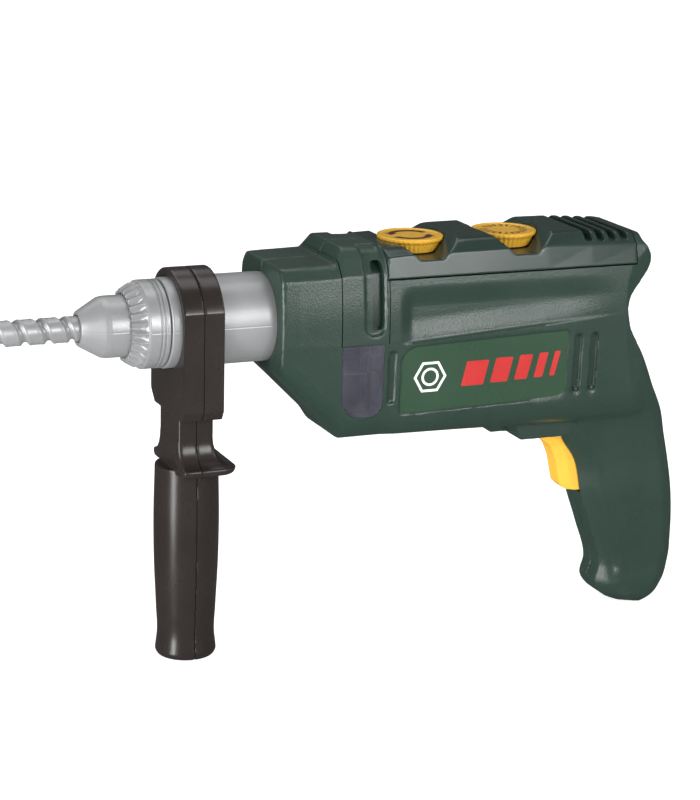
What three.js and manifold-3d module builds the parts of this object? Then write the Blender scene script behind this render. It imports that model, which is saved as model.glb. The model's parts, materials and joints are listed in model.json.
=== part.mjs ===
// Toy power drill: two half shells with a top cover, two dials, a trigger, a geared drive train
// with chuck and drill bit, a swivelling side handle, and a battery bay in the grip.
// Millimetres, +Z up. The bit points along -X and the grip is at +X.
// Everything is first laid out with the spindle axis on the X axis and the housing's front face at
// x = 0, and the whole group is then moved so that z = 0 is the plane the two feet stand on and
// x = 0 is half way along the drill.
import * as THREE from 'three';
import { mergeVertices } from 'three/addons/utils/BufferGeometryUtils.js';
import Module from 'manifold-3d';

const wasm = await Module();
wasm.setup();

// ---------- driving dimensions ----------
const wall = 2.2;
const gap = 0.3; // clearance between pieces that touch on the real object
const footZ = -153; // the plane both feet stand on

const noseEnd = 26;
const collarStep = 4;
const coverFront = 49;
const coverRear = 173.3;
const coverBottom = 18.4;
const rearEnd = 184;
const bodyHalfWidth = 28.5; // at the crease along the side
const shoulderHalfWidth = 26.5;
const creaseZ = -9;
const bodyBottom = -54;
const coverTop = 34.4;
const coverEdge = 28.8; // height of the corners along the cover's sides
const deckHalfWidth = 20; // of the flat top, inside its sloping edges

const barrelRadius = 19.85;
const barrelFront = -47.3;
const barrelWall = 2.4;
const barrelFlange = 2; // how far the barrel's collar inside the housing stands out
const noseTop = barrelRadius + 5.35;
const noseHalfWidth = barrelRadius + 3.75;
const noseCrease = barrelRadius + barrelFlange + 6.15; // half width at its widest
const nosePlateDrop = -barrelRadius - 2.15; // where the front face meets the slope under the nose
const spindleRadius = 3;
const spindleRear = 58.5;
const runningFit = 0.06;
const chuckRingRadius = 19.4;
const chuckRingFront = -64;
const chuckToothCount = 26;
const sleeveRadius = 13.5;
const sleeveRear = -60.4;
const sleeveFront = -84;
const bitRadius = 5.7;
const bitTip = -131;
const bitPitch = 10.4;

const handleX = -34;
const clampWidth = 18.6; // along the barrel
const clampThickness = 4.15;
const clampOuterRadius = barrelRadius + clampThickness;
const clampHalfWidth = clampOuterRadius - 1.4;
const clampBottom = -40;
const neckHalfWidth = 13;
const guardZ = -62;
const guardHalfWidth = 22;
const gripRadius = 14.6;
const gripFootRadius = 12.9;

const dialRadius = 15;
const dialTop = 32.8;
const dialFloor = 26; // floor of the notch that each dial stands in
const frontDialX = coverFront + dialRadius + 7; // leaves a hump of the cover ahead of the dial
const dialSpacing = 46.6;
const dialXs = [frontDialX, frontDialX + dialSpacing];

const triggerHalfWidth = 7.6;
const triggerRear = 166;
const triggerTravel = 4.5;
const springHeight = -80;
const gearModule = 0.8;
const spindleTeeth = 36;
const smallTeeth = 12;
const largeTeeth = 30;
const pinionTeeth = 10;
const gearFace = 4.6;
const motorRadius = 12;
const motorLength = 30;
const cellRadius = 7.25;
const cellLength = 50.5;
const cellSpacing = 2 * cellRadius + 0.6;
const gripTilt = THREE.MathUtils.degToRad(8.2);
const bayX = 187; // middle of the battery bay
const bayZ = footZ + 12.15 + cellLength / 2;
const bayRoom = cellSpacing / 2 + cellRadius + wall; // from the bay's axis to the grip's outside
const bayAxisAt = (z) => bayX - (z - bayZ) * Math.tan(gripTilt);

// ---------- materials ----------
const paint = (hex, roughness, metalness = 0) => ({ color: hex, roughness, metalness });
const greenPlastic = paint(0x2f4a3e, 0.42);
const darkGreenPlastic = paint(0x26332f, 0.25);
const yellowPlastic = paint(0xe2b21c, 0.28);
const blackPlastic = paint(0x2c2725, 0.36);
const silverPlastic = paint(0xa9abae, 0.34, 0.6);
const smokyClear = paint(0x5a5566, 0.15);
const greyPlastic = paint(0x8b8f8c, 0.5);
const whitePlastic = paint(0xd8d6cc, 0.5);
const steel = paint(0x9a9da0, 0.3, 1);
const brass = paint(0xb0904c, 0.35, 1);
const cellJacket = paint(0x303a48, 0.4);
const boardGreen = paint(0x1f5a38, 0.5);

const drill = new THREE.Group();

// ---------- geometry helpers ----------
const point = (a, b) => new THREE.Vector2(a, b);

function solid(geometry) {
  const bare = geometry.clone();
  bare.deleteAttribute('normal');
  bare.deleteAttribute('uv');
  const merged = mergeVertices(bare, 1e-4);
  return new wasm.Manifold(new wasm.Mesh({
    numProp: 3,
    vertProperties: merged.attributes.position.array,
    triVerts: new Uint32Array(merged.index.array),
  }));
}

function geometryOf(body) {
  const { vertProperties, triVerts } = body.getMesh();
  const geometry = new THREE.BufferGeometry();
  geometry.setAttribute('position', new THREE.BufferAttribute(vertProperties, 3));
  geometry.setIndex(new THREE.BufferAttribute(triVerts, 1));
  geometry.computeVertexNormals();
  return geometry;
}

function place(name, body, finish) {
  const mesh = new THREE.Mesh(geometryOf(body), new THREE.MeshStandardMaterial(finish));
  mesh.name = name;
  drill.add(mesh);
}

// A closed outline through corners [a, b, radius], each corner with a radius turned into an arc.
function rounded(corners, steps = 2) {
  const outline = [];
  corners.forEach(([a, b, radius = 0], i) => {
    const corner = point(a, b);
    if (!radius) {
      outline.push(corner);
      return;
    }
    const last = corners[(i + corners.length - 1) % corners.length];
    const next = corners[(i + 1) % corners.length];
    const back = point(last[0], last[1]).sub(corner);
    const ahead = point(next[0], next[1]).sub(corner);
    const room = Math.min(back.length(), ahead.length()) * 0.49;
    back.normalize();
    ahead.normalize();
    const half = Math.acos(THREE.MathUtils.clamp(back.dot(ahead), -1, 1)) / 2;
    const cut = Math.min(radius / Math.tan(half), room);
    const reach = cut / Math.cos(half);
    const middle = back.clone().add(ahead).normalize().multiplyScalar(reach).add(corner);
    const from = back.clone().multiplyScalar(cut).add(corner).sub(middle);
    const to = ahead.clone().multiplyScalar(cut).add(corner).sub(middle);
    let turn = to.angle() - from.angle();
    if (turn > Math.PI) turn -= 2 * Math.PI;
    if (turn < -Math.PI) turn += 2 * Math.PI;
    for (let k = 0; k <= steps; k++) {
      outline.push(from.clone().rotateAround(point(0, 0), (turn * k) / steps).add(middle));
    }
  });
  return outline;
}

// The flat end of a loft as triangles that turn the same way as its outline.
function facets(outline) {
  const turn = Math.sign(THREE.ShapeUtils.area(outline));
  return THREE.ShapeUtils.triangulateShape(outline, []).map(([i, j, k]) => {
    const area = THREE.ShapeUtils.area([outline[i], outline[j], outline[k]]);
    return Math.sign(area) === turn ? [i, j, k] : [k, j, i];
  });
}

// A skin over outlines of equal point count, closed by flat ends. put(at, u, v) gives the place.
function loft(sections, put) {
  const count = sections[0].outline.length;
  const positions = [];
  const faces = [];
  for (const { at, outline } of sections) {
    for (const p of outline) positions.push(...put(at, p.x, p.y));
  }
  for (let s = 0; s + 1 < sections.length; s++) {
    for (let k = 0; k < count; k++) {
      const a = s * count + k;
      const b = s * count + ((k + 1) % count);
      faces.push(a, b, a + count, b, b + count, a + count);
    }
  }
  const lastRow = (sections.length - 1) * count;
  for (const [i, j, k] of facets(sections[0].outline)) faces.push(k, j, i);
  for (const [i, j, k] of facets(sections.at(-1).outline)) {
    faces.push(lastRow + i, lastRow + j, lastRow + k);
  }
  const geometry = new THREE.BufferGeometry();
  geometry.setAttribute('position', new THREE.Float32BufferAttribute(positions, 3));
  geometry.setIndex(faces);
  const skin = solid(geometry);
  if (skin.volume() > 0) return skin;
  geometry.setIndex(faces.toReversed());
  return solid(geometry);
}

// Straight prisms: an outline in XZ run along Y, in YZ run along X, and in XY run along Z.
function prism(outline, from, to, bevel = 0, bevelSteps = 2) {
  const geometry = new THREE.ExtrudeGeometry(new THREE.Shape(outline), {
    depth: to - from - 2 * bevel,
    bevelEnabled: bevel > 0,
    bevelThickness: bevel,
    bevelSize: bevel,
    bevelOffset: -bevel,
    bevelSegments: bevelSteps,
    curveSegments: 8,
  });
  return geometry.translate(0, 0, from + bevel);
}
function alongY(outline, from, to, bevel, bevelSteps) {
  return solid(prism(outline, -to, -from, bevel, bevelSteps).rotateX(Math.PI / 2));
}
function alongX(outline, from, to, bevel, bevelSteps) {
  const turn = new THREE.Matrix4().makeBasis(
    new THREE.Vector3(0, 1, 0), new THREE.Vector3(0, 0, 1), new THREE.Vector3(1, 0, 0));
  return solid(prism(outline, from, to, bevel, bevelSteps).applyMatrix4(turn));
}
function alongZ(outline, from, to, bevel, bevelSteps) {
  return solid(prism(outline, from, to, bevel, bevelSteps));
}
function box(x0, x1, y0, y1, z0, z1) {
  return solid(new THREE.BoxGeometry(x1 - x0, y1 - y0, z1 - z0)
    .translate((x0 + x1) / 2, (y0 + y1) / 2, (z0 + z1) / 2));
}

// Turned shapes: profile of [radius, height] from the axis and back to it, or closed on itself.
function turned(profile, sides) {
  return new THREE.LatheGeometry(profile.map(([r, h]) => point(r, h)), sides);
}
// About X at height z: profile heights are x values, listed with x rising.
function turnedX(profile, sides = 40, z = 0, y = 0) {
  return solid(turned(profile, sides).rotateZ(-Math.PI / 2).translate(0, y, z));
}
function rodX(radius, from, to, sides = 24, z = 0, y = 0) {
  return turnedX([[0, from], [radius, from], [radius, to], [0, to]], sides, z, y);
}
function turnedZ(profile, sides = 40, x = 0, y = 0) {
  return solid(turned(profile, sides).rotateX(Math.PI / 2).translate(x, y, 0));
}
function rodZ(radius, from, to, sides = 24, x = 0, y = 0) {
  return turnedZ([[0, from], [radius, from], [radius, to], [0, to]], sides, x, y);
}
function rodY(radius, from, to, x, z, sides = 12) {
  return solid(turned([[0, from], [radius, from], [radius, to], [0, to]], sides)
    .translate(x, 0, z));
}

// ---------- housing shape ----------
// Half widths and heights of the body at places along it: flat top, top corner, shoulder, bottom.
const bodyStations = [
  { x: 0, top: noseTop, deckY: noseHalfWidth - 1.8, cornerY: noseHalfWidth, cornerZ: noseTop - 2,
    shoulderZ: 20, crease: noseCrease, bottom: nosePlateDrop },
  { x: noseEnd, top: noseTop + 0.5, deckY: noseHalfWidth - 1.8, cornerY: noseHalfWidth,
    cornerZ: noseTop - 1.2, shoulderZ: 20.5, crease: bodyHalfWidth, bottom: nosePlateDrop - noseEnd },
  { x: noseEnd + collarStep, top: 32.6, deckY: deckHalfWidth - 2, cornerY: 21.4, cornerZ: 28.6,
    shoulderZ: 21, crease: bodyHalfWidth, bottom: bodyBottom },
  { x: coverFront, top: 32.4, deckY: deckHalfWidth - 2, cornerY: 22.5, cornerZ: 27.6, shoulderZ: 21,
    crease: bodyHalfWidth, bottom: bodyBottom },
  { x: coverFront + 0.6, top: coverTop - 3.2, deckY: deckHalfWidth, cornerY: 25.8,
    cornerZ: coverEdge - 0.6, shoulderZ: coverBottom, crease: bodyHalfWidth, bottom: bodyBottom },
  { x: coverFront + 9, top: coverTop - 3, deckY: deckHalfWidth, cornerY: 25.8, cornerZ: coverEdge,
    shoulderZ: coverBottom, crease: bodyHalfWidth, bottom: bodyBottom - 0.5 },
  { x: 88, top: coverTop - 0.2, deckY: deckHalfWidth, cornerY: 25.8, cornerZ: coverEdge,
    shoulderZ: coverBottom, crease: bodyHalfWidth, bottom: bodyBottom - 1 },
  { x: 128, top: coverTop, deckY: deckHalfWidth, cornerY: 25.8, cornerZ: coverEdge,
    shoulderZ: coverBottom + 0.3, crease: bodyHalfWidth, bottom: bodyBottom - 2 },
  { x: 150, top: coverTop - 0.2, deckY: deckHalfWidth, cornerY: 25.6, cornerZ: coverEdge - 0.8,
    shoulderZ: coverBottom + 0.5, crease: bodyHalfWidth - 0.5, bottom: bodyBottom - 2.6 },
  { x: coverRear, top: coverTop - 1.9, deckY: deckHalfWidth, cornerY: 25.4,
    cornerZ: coverEdge - 1.8, shoulderZ: coverBottom + 0.6, crease: 27.5, bottom: bodyBottom - 3 },
  { x: rearEnd + 6, top: coverTop - 5.4, deckY: deckHalfWidth, cornerY: 25.2,
    cornerZ: coverEdge - 2.8, shoulderZ: coverBottom + 0.6, crease: 26.5, bottom: bodyBottom - 3 },
];

function bodySection(s, inset) {
  const side = [
    [s.deckY - inset, s.top - inset, 3],
    [s.cornerY - inset, s.cornerZ - inset, 3],
    [shoulderHalfWidth - inset, s.shoulderZ, 1.2],
    [s.crease - inset, creaseZ, 3],
    [s.crease - 2 - inset, s.bottom + inset * 1.1, 11 - inset],
  ];
  const corners = [];
  for (const c of side) corners.push(c);
  for (const [y, z, r] of side.toReversed()) corners.push([-y, z, r]);
  return rounded(corners);
}

function bodyLoft(inset) {
  const sections = bodyStations.map((s, i) => ({
    at: i === 0 ? s.x + inset : s.x,
    outline: bodySection(i === 0 && inset ? { ...s, bottom: s.bottom - inset } : s, inset),
  }));
  return loft(sections, (x, y, z) => [x, y, z]);
}

// The body seen from the side behind the cover: a lip that leans back, then the hollow over the hand.
function bodySideCut(inset) {
  return alongY(rounded([
    [-10, 60], [177.5 - inset, 60], [177.5 - inset, 29, 3], [rearEnd - inset, 19.5, 2],
    [rearEnd - 7 - inset, 11, 5], [168.5 - inset, 1, 14], [172 - inset, -12], [180.5 - inset, -26],
    [184 - inset, -80], [-10, -80],
  ], 4), -40, 40);
}

// The body seen from above, with its two rear corners rounded.
function bodyPlanCut(inset) {
  return alongZ(rounded([
    [-10, -40], [-10, 40], [166, 40], [166, 28 - inset], [rearEnd - inset, 24 - inset, 7],
    [rearEnd - inset, -24 + inset, 7], [166, -28 + inset], [166, -40],
  ], 4), -90, 70);
}

// Grip sections down the handle: front and rear edges and half width at each height. Beside the
// battery bay the edges are given as the plastic and air ahead of and behind the room for the cells.
function besideBay(z, ahead, behind, half) {
  const axis = bayAxisAt(z);
  return { z, front: axis - bayRoom - ahead, rear: axis + bayRoom + behind, half, round: 11 };
}
const gripStations = [
  { z: 2, front: 150, rear: 168.5, half: 25.5, round: 6 },
  { z: -9, front: 150, rear: 172.5, half: 26.3, round: 8 },
  { z: -25, front: 150, rear: 183, half: 25.8, round: 10 },
  { z: -42, front: 148, rear: 191.3, half: 24.5, round: 11 },
  { z: -56, front: 146, rear: 199, half: 19.5, round: 11 },
  { z: -68, front: 149, rear: 202.5, half: 17.8, round: 11 },
  besideBay(-76, 9.8, 6.3, 17.4),
  besideBay(-96, 7.2, 7.4, 17),
  besideBay(-114, 3.4, 6.2, 16.8),
  besideBay(footZ + 21, 0.4, 3.2, 16.6),
  besideBay(footZ + 10, 3, -1.4, 16.4),
  { z: footZ + 3.4, front: 178, rear: 201.5, half: 14.6, round: 9 },
  { z: footZ, front: 185.5, rear: 196, half: 9.5, round: 4 },
];

function gripSection(s, inset) {
  const front = s.front + inset;
  const half = s.half - inset;
  const side = [
    [front, half * 0.5, 2],
    [front + 9, half, 4],
    [s.rear - inset, half, s.round],
  ];
  const corners = [];
  for (const c of side) corners.push(c);
  for (const [x, y, r] of side.toReversed()) corners.push([x, -y, r]);
  return rounded(corners);
}

function gripLoft(inset) {
  const kept = inset ? gripStations.slice(0, -1) : gripStations;
  const sections = kept.map((s, i) => ({
    at: inset && i === kept.length - 1 ? s.z + 0.4 : s.z,
    outline: gripSection(s, inset),
  }));
  return loft(sections, (z, x, y) => [x, y, z]);
}

// The block under the body that the trigger slides in, with a slim lug ahead of it.
function triggerBlock(inset) {
  const block = alongY(rounded([
    [126, -45], [119 + inset, -53, 2], [124 + inset, -64.4 + inset, 1.5], [152, -64.4 + inset],
    [158, -45],
  ]), -14 + inset, 14 - inset, inset ? 0 : 1);
  if (inset) return block;
  return block.add(alongY(rounded([
    [124, -48], [109, -53], [112, -62, 2], [124, -62],
  ]), -5.5, 5.5));
}

function housingOuter() {
  return bodyLoft(0).intersect(bodySideCut(0)).intersect(bodyPlanCut(0))
    .add(gripLoft(0)).add(triggerBlock(0));
}
function housingInner() {
  return bodyLoft(wall).intersect(bodySideCut(wall)).intersect(bodyPlanCut(wall))
    .add(gripLoft(wall)).add(triggerBlock(wall));
}

// ---------- openings in the shells ----------
const windowShape = (grow) => rounded([
  [27.8 - grow, -9.8 + grow, 1], [47.6 + grow, -9.8 + grow, 1],
  [47.6 + grow, -42.6 - grow, 6], [28.4 - grow, -43 - grow, 11],
], 4);
const labelShape = rounded([
  [56, -12.2, 8], [139.5, -9.6, 1.5], [139.5, -41.6, 5], [56, -43.2, 2],
]);
const ventShape = rounded([
  [40, 40], [48, 40], [47.6, -5, 3.9], [40, -5, 3.9],
]);
const triggerTip = -93.6;
const triggerSlot = (grow) => box(133, triggerRear + 10, -triggerHalfWidth - grow,
  triggerHalfWidth + grow, triggerTip - 0.8 - grow, -60);

// Case screws, by place and how far from the middle plane the head sits.
const caseScrews = [
  { x: 20, z: -31, seat: 15 },
  { x: 59, z: -44, seat: 15 },
  { x: 118, z: -44, seat: 15 },
  { x: 128, z: 4, seat: 15 },
  { x: 163, z: -20, seat: 15 },
  { x: 190, z: -72, seat: 9 },
];
const bossRadius = 3.6;
const screwRadius = 1.3;
const screwHeadRadius = 2.7;
const screwHeadHeight = 1.8;
const screwDepth = 12;

function shellHalf(outer, inner, side) {
  const half = side < 0
    ? box(-20, 230, -60, -gap / 2, -200, 80)
    : box(-20, 230, gap / 2, 60, -200, 80);
  let shell = outer.subtract(inner);
  for (const s of caseScrews) {
    shell = shell.add(rodY(bossRadius, -60, 60, s.x, s.z).intersect(outer));
  }
  shell = shell.intersect(half);
  for (const s of caseScrews) {
    const bore = side < 0
      ? rodY(screwRadius + gap, -screwDepth - gap, 1, s.x, s.z)
      : rodY(screwRadius + gap, -1, 60, s.x, s.z).add(
        rodY(screwHeadRadius + gap, s.seat - gap, 60, s.x, s.z));
    shell = shell.subtract(bore);
  }
  const reach = side * (bodyHalfWidth + 5);
  const outwards = (outline, depth) => (side < 0
    ? alongY(outline, reach, side * depth) : alongY(outline, side * depth, reach));
  shell = shell
    .subtract(box(coverFront, coverRear + gap, -40, 40, coverBottom - 0.2, 60))
    .subtract(rodX(barrelRadius + gap, -5, wall + 1, 48))
    .subtract(outwards(windowShape(gap), 20))
    .subtract(outwards(ventShape, 25.6))
    .subtract(outwards(labelShape, bodyHalfWidth - 1.6))
    .subtract(triggerSlot(gap * 2));
  return shell;
}

const outer = housingOuter();
const inner = housingInner();

// Battery door outline on the far side of the grip, following its lean.
const doorTop = -92;
const doorFoot = footZ + 12;
const doorShape = (grow) => rounded([
  [bayAxisAt(doorTop) - bayRoom + 0.4 - grow, doorTop + grow, 3],
  [bayAxisAt(doorTop) + bayRoom + 1.4 + grow, doorTop + grow, 3],
  [bayAxisAt(doorFoot) + bayRoom - 4.6 + grow, doorFoot - grow, 3],
  [bayAxisAt(doorFoot) - bayRoom + 4.3 - grow, doorFoot - grow, 3],
]);
const speakerX = 92;
const speakerZ = -33;
function makeShells() {
  place('housing_left', shellHalf(outer, inner, -1), greenPlastic);
  const grille = [];
  for (let row = -1; row <= 1; row++) {
    for (let k = -2; k <= 2; k++) {
      grille.push(rodY(1.1, 20, 40, speakerX + k * 4.5, speakerZ + row * 5, 8));
    }
  }
  let far = shellHalf(outer, inner, 1).subtract(alongY(doorShape(gap), 8, 40));
  for (const hole of grille) far = far.subtract(hole);
  place('housing_right', far, greenPlastic);
}

// ---------- windows, lamps ----------
const windowThickness = 1.8;
function makeWindows() {
  for (const [name, side] of [['light_window_left', -1], ['light_window_right', 1]]) {
    const skin = outer.subtract(bodyLoft(windowThickness));
    const [from, to] = side < 0 ? [-40, -20] : [20, 40];
    place(name, skin.intersect(alongY(windowShape(0), from, to)), smokyClear);
  }
}

const lampX = 34.9;
const lampZ = -27;
const lampRadius = 2.5;
const lampLength = 8.6;
function makeLamps() {
  const halfWidth = 22;
  const web = 3; // half thickness of the wall that both lamps stand in
  const rim = 1.6;
  const [front, rear, low, high] = [30, 43.6, -41, -12];
  let frame = box(front, rear, -halfWidth, halfWidth, low, high);
  for (const [from, to] of [[-halfWidth - 1, -web], [web, halfWidth + 1]]) {
    frame = frame.subtract(box(front + rim, rear - rim, from, to, low + rim, high - rim));
  }
  frame = frame.add(box(38.4, 39.6, -halfWidth, halfWidth, low + 1, high - 1))
    .subtract(rodY(lampRadius + gap, -30, 30, lampX, lampZ, 20));
  place('lamp_frame', frame, greyPlastic);
  const inner = 0.4; // the two lamps stand back to back this far from the middle
  place('lamp_left', rodY(lampRadius, -inner - lampLength, -inner, lampX, lampZ, 20), whitePlastic);
  place('lamp_right', rodY(lampRadius, inner, inner + lampLength, lampX, lampZ, 20), whitePlastic);
}

// ---------- cover and dials ----------
const rimUnder = dialTop - 1.2; // underside of a dial's disc
const ridgeStart = dialXs[1] + dialRadius + 17; // the first of four grooves across the rear
const ridgePitch = 6.2;
function makeCover() {
  const top = bodyLoft(0).intersect(box(coverFront + gap, coverRear, -40, 40, coverBottom + 0.2, 60));
  const inside = 24;
  let cover = top.subtract(box(coverFront + wall, coverRear - wall, -inside, inside, 0, dialFloor - wall));
  const notchReach = dialRadius + 2.5; // from the dial's middle to the solid plastic beside it
  const humps = [[coverFront + wall, dialXs[0] - notchReach, coverTop - 5.6],
    [dialXs[0] + notchReach, dialXs[1] - notchReach, coverTop - 2.6],
    [dialXs[1] + notchReach, ridgeStart - 6.6, coverTop - 2.6]];
  const under = deckHalfWidth - 3; // half width of the room under the flat top
  for (const [from, to, ceiling] of humps) {
    cover = cover.subtract(box(from, to, -inside, inside, 0, coverEdge - 2.4))
      .subtract(box(from, to, -under, under, 0, ceiling));
  }
  for (const x of dialXs) {
    const notch = rounded([
      [x - dialRadius - 2, 36], [x - 5.4, dialFloor, 1.5], [x + 5.4, dialFloor, 1.5],
      [x + dialRadius + 2, 36],
    ]);
    cover = cover.subtract(alongY(notch, -40, 40))
      .subtract(rodZ(dialRadius - 0.6, dialFloor, 40, 36, x))
      .subtract(rodZ(dialRadius + gap, rimUnder - gap, 60, 36, x))
      .subtract(rodZ(3.5, 0, 40, 20, x));
  }
  for (let k = 0; k < 4; k++) {
    const x = ridgeStart + k * ridgePitch;
    const floor = coverTop - 5.8;
    const groove = rounded([[x - 1.9, 60], [x - 1.9, floor, 1.8], [x + 1.9, floor, 1.8], [x + 1.9, 60]]);
    cover = cover.subtract(alongY(groove, -23, 23));
  }
  place('top_cover', cover, darkGreenPlastic);
}

function knurled(radius, depth, count) {
  const outline = [];
  for (let k = 0; k < count * 2; k++) {
    const angle = (k * Math.PI) / count;
    const r = k % 2 ? radius - depth : radius;
    outline.push(point(r * Math.cos(angle), r * Math.sin(angle)));
  }
  return outline;
}

function makeDials() {
  const postFoot = 21.6;
  const names = ['direction_dial', 'mode_dial'];
  dialXs.forEach((x, i) => {
    const disc = turnedZ([
      [0, rimUnder], [dialRadius - 0.4, rimUnder], [dialRadius, rimUnder + 0.4],
      [dialRadius, dialTop - 0.4], [dialRadius - 0.4, dialTop], [0, dialTop],
    ], 36, x);
    const skirt = solid(prism(knurled(dialRadius - 1.1, 0.4, 24), dialFloor + gap, rimUnder + 0.2)
      .translate(x, 0, 0));
    const post = rodZ(3.2, postFoot, dialFloor + 1, 20, x);
    const bore = rodZ(screwRadius + gap, 0, 29, 16, x);
    const dial = disc.add(skirt).add(post).subtract(bore);
    place(names[i], dial, yellowPlastic);
    const foot = postFoot - gap;
    const screw = rodZ(4.4, foot - 1.6, foot, 20, x).add(rodZ(screwRadius, foot - 0.5, 28.4, 16, x));
    place(`${names[i]}_screw`, screw, steel);
  });
}

// ---------- barrel, spindle, chuck, bit ----------
const bushRadius = 5.6;
function makeBarrel() {
  const inside = barrelRadius - barrelWall;
  const flange = barrelRadius + barrelFlange;
  place('barrel_tube', turnedX([
    [bushRadius + gap, barrelFront], [barrelRadius - 0.8, barrelFront], [barrelRadius, barrelFront + 0.8],
    [barrelRadius, wall + gap], [flange, wall + gap], [flange, wall + gap + 2],
    [inside, wall + gap + 2], [inside, barrelFront + 3], [bushRadius + gap, barrelFront + 3],
    [bushRadius + gap, barrelFront],
  ], 36), silverPlastic);
}

function bush(name, from, to) {
  const bore = spindleRadius + runningFit;
  place(name, turnedX([
    [bore, from], [bushRadius, from], [bushRadius, to], [bore, to], [bore, from],
  ], 24), brass);
}

const socketFloor = -70;
const neckRadius = 8;
function makeSpindle() {
  const seat = spindleRadius + runningFit;
  place('spindle', rodX(spindleRadius, socketFloor + 1.5, spindleRear, 24), steel);
  bush('front_bush', barrelFront + 0.4, barrelFront + 9);
  bush('rear_bush', 43.6, 49.4);
  place('chuck_sleeve', turnedX([
    [bitRadius + gap, sleeveFront], [bitRadius + 1.6, sleeveFront], [12.9, sleeveFront + 9],
    [sleeveRadius, sleeveFront + 11], [sleeveRadius, sleeveRear], [neckRadius, sleeveRear],
    [neckRadius, -50], [seat, -50], [seat, socketFloor], [bitRadius + gap, socketFloor],
    [bitRadius + gap, sleeveFront],
  ], 28), silverPlastic);
  const ringRear = barrelFront - 0.5;
  const ring = turnedX([
    [neckRadius + gap, sleeveRear + gap], [chuckRingRadius - 1.4, sleeveRear + gap],
    [chuckRingRadius - 0.4, -57.2],
    [chuckRingRadius, -56.4], [chuckRingRadius, -51.6], [chuckRingRadius - 0.7, -51],
    [chuckRingRadius, -50.4], [chuckRingRadius, ringRear], [neckRadius + gap, ringRear],
    [neckRadius + gap, sleeveRear + gap],
  ], chuckToothCount);
  const crown = alongX(knurled(chuckRingRadius - 0.5, 2.2, chuckToothCount), chuckRingFront, -57)
    .subtract(rodX(sleeveRadius + 0.5, chuckRingFront - 1, sleeveRear + gap, chuckToothCount))
    .subtract(rodX(neckRadius + gap, sleeveRear, -50, chuckToothCount));
  place('chuck_ring', ring.add(crown), silverPlastic);
}

function makeBit() {
  const sections = [];
  const perTurn = 9;
  const start = socketFloor - gap; // the bit's rear end, against the floor of the sleeve's socket
  const plain = start - 18; // the smooth shank ends here
  const section = (radius, turn) => {
    const outline = [];
    for (let k = 0; k < 12; k++) {
      const angle = (k * Math.PI) / 6;
      const flute = Math.cos(angle - turn) > 0.8 ? 0.72 : 1;
      outline.push(point(radius * flute * Math.cos(angle), radius * flute * Math.sin(angle)));
    }
    return outline;
  };
  sections.push({ at: start, outline: section(bitRadius, Math.PI / 12) });
  sections.push({ at: plain, outline: section(bitRadius, Math.PI / 12) });
  const flutedLength = plain - bitTip - 6;
  const steps = Math.round((flutedLength / bitPitch) * perTurn);
  for (let k = 1; k <= steps; k++) {
    const at = plain - (flutedLength * k) / steps;
    sections.push({ at, outline: section(bitRadius, (2 * Math.PI * (plain - at)) / bitPitch) });
  }
  sections.push({ at: bitTip, outline: section(0.6, Math.PI / 12) });
  place('drill_bit', loft(sections, (x, y, z) => [x, y, z]), silverPlastic);
}

// ---------- gear train ----------
// Outline of an involute gear with 25 degree flanks and a little backlash.
function gearOutline(teeth, phase) {
  const pressure = THREE.MathUtils.degToRad(25);
  const pitch = (teeth * gearModule) / 2;
  const base = pitch * Math.cos(pressure);
  const tip = pitch + gearModule * 0.95;
  const root = pitch - gearModule * 1.2;
  const involute = (r) => {
    const a = Math.acos(Math.min(1, base / r));
    return Math.tan(a) - a;
  };
  const backlash = 0.1 / pitch;
  const halfAtPitch = Math.PI / (2 * teeth) - backlash;
  const halfAt = (r) => halfAtPitch + involute(pitch) - involute(Math.max(r, base));
  const outline = [];
  for (let k = 0; k < teeth; k++) {
    const middle = phase + (2 * Math.PI * k) / teeth;
    const flank = base > root + 0.1 ? [root, base, pitch, tip] : [root, pitch, tip];
    for (const r of flank) outline.push([r, middle - halfAt(r)]);
    for (const r of flank.toReversed()) outline.push([r, middle + halfAt(r)]);
  }
  return outline.map(([r, a]) => point(r * Math.cos(a), r * Math.sin(a)));
}
function gear(teeth, phase, from, to, z) {
  return alongX(gearOutline(teeth, phase), from, to).translate([0, 0, z]);
}

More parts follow.
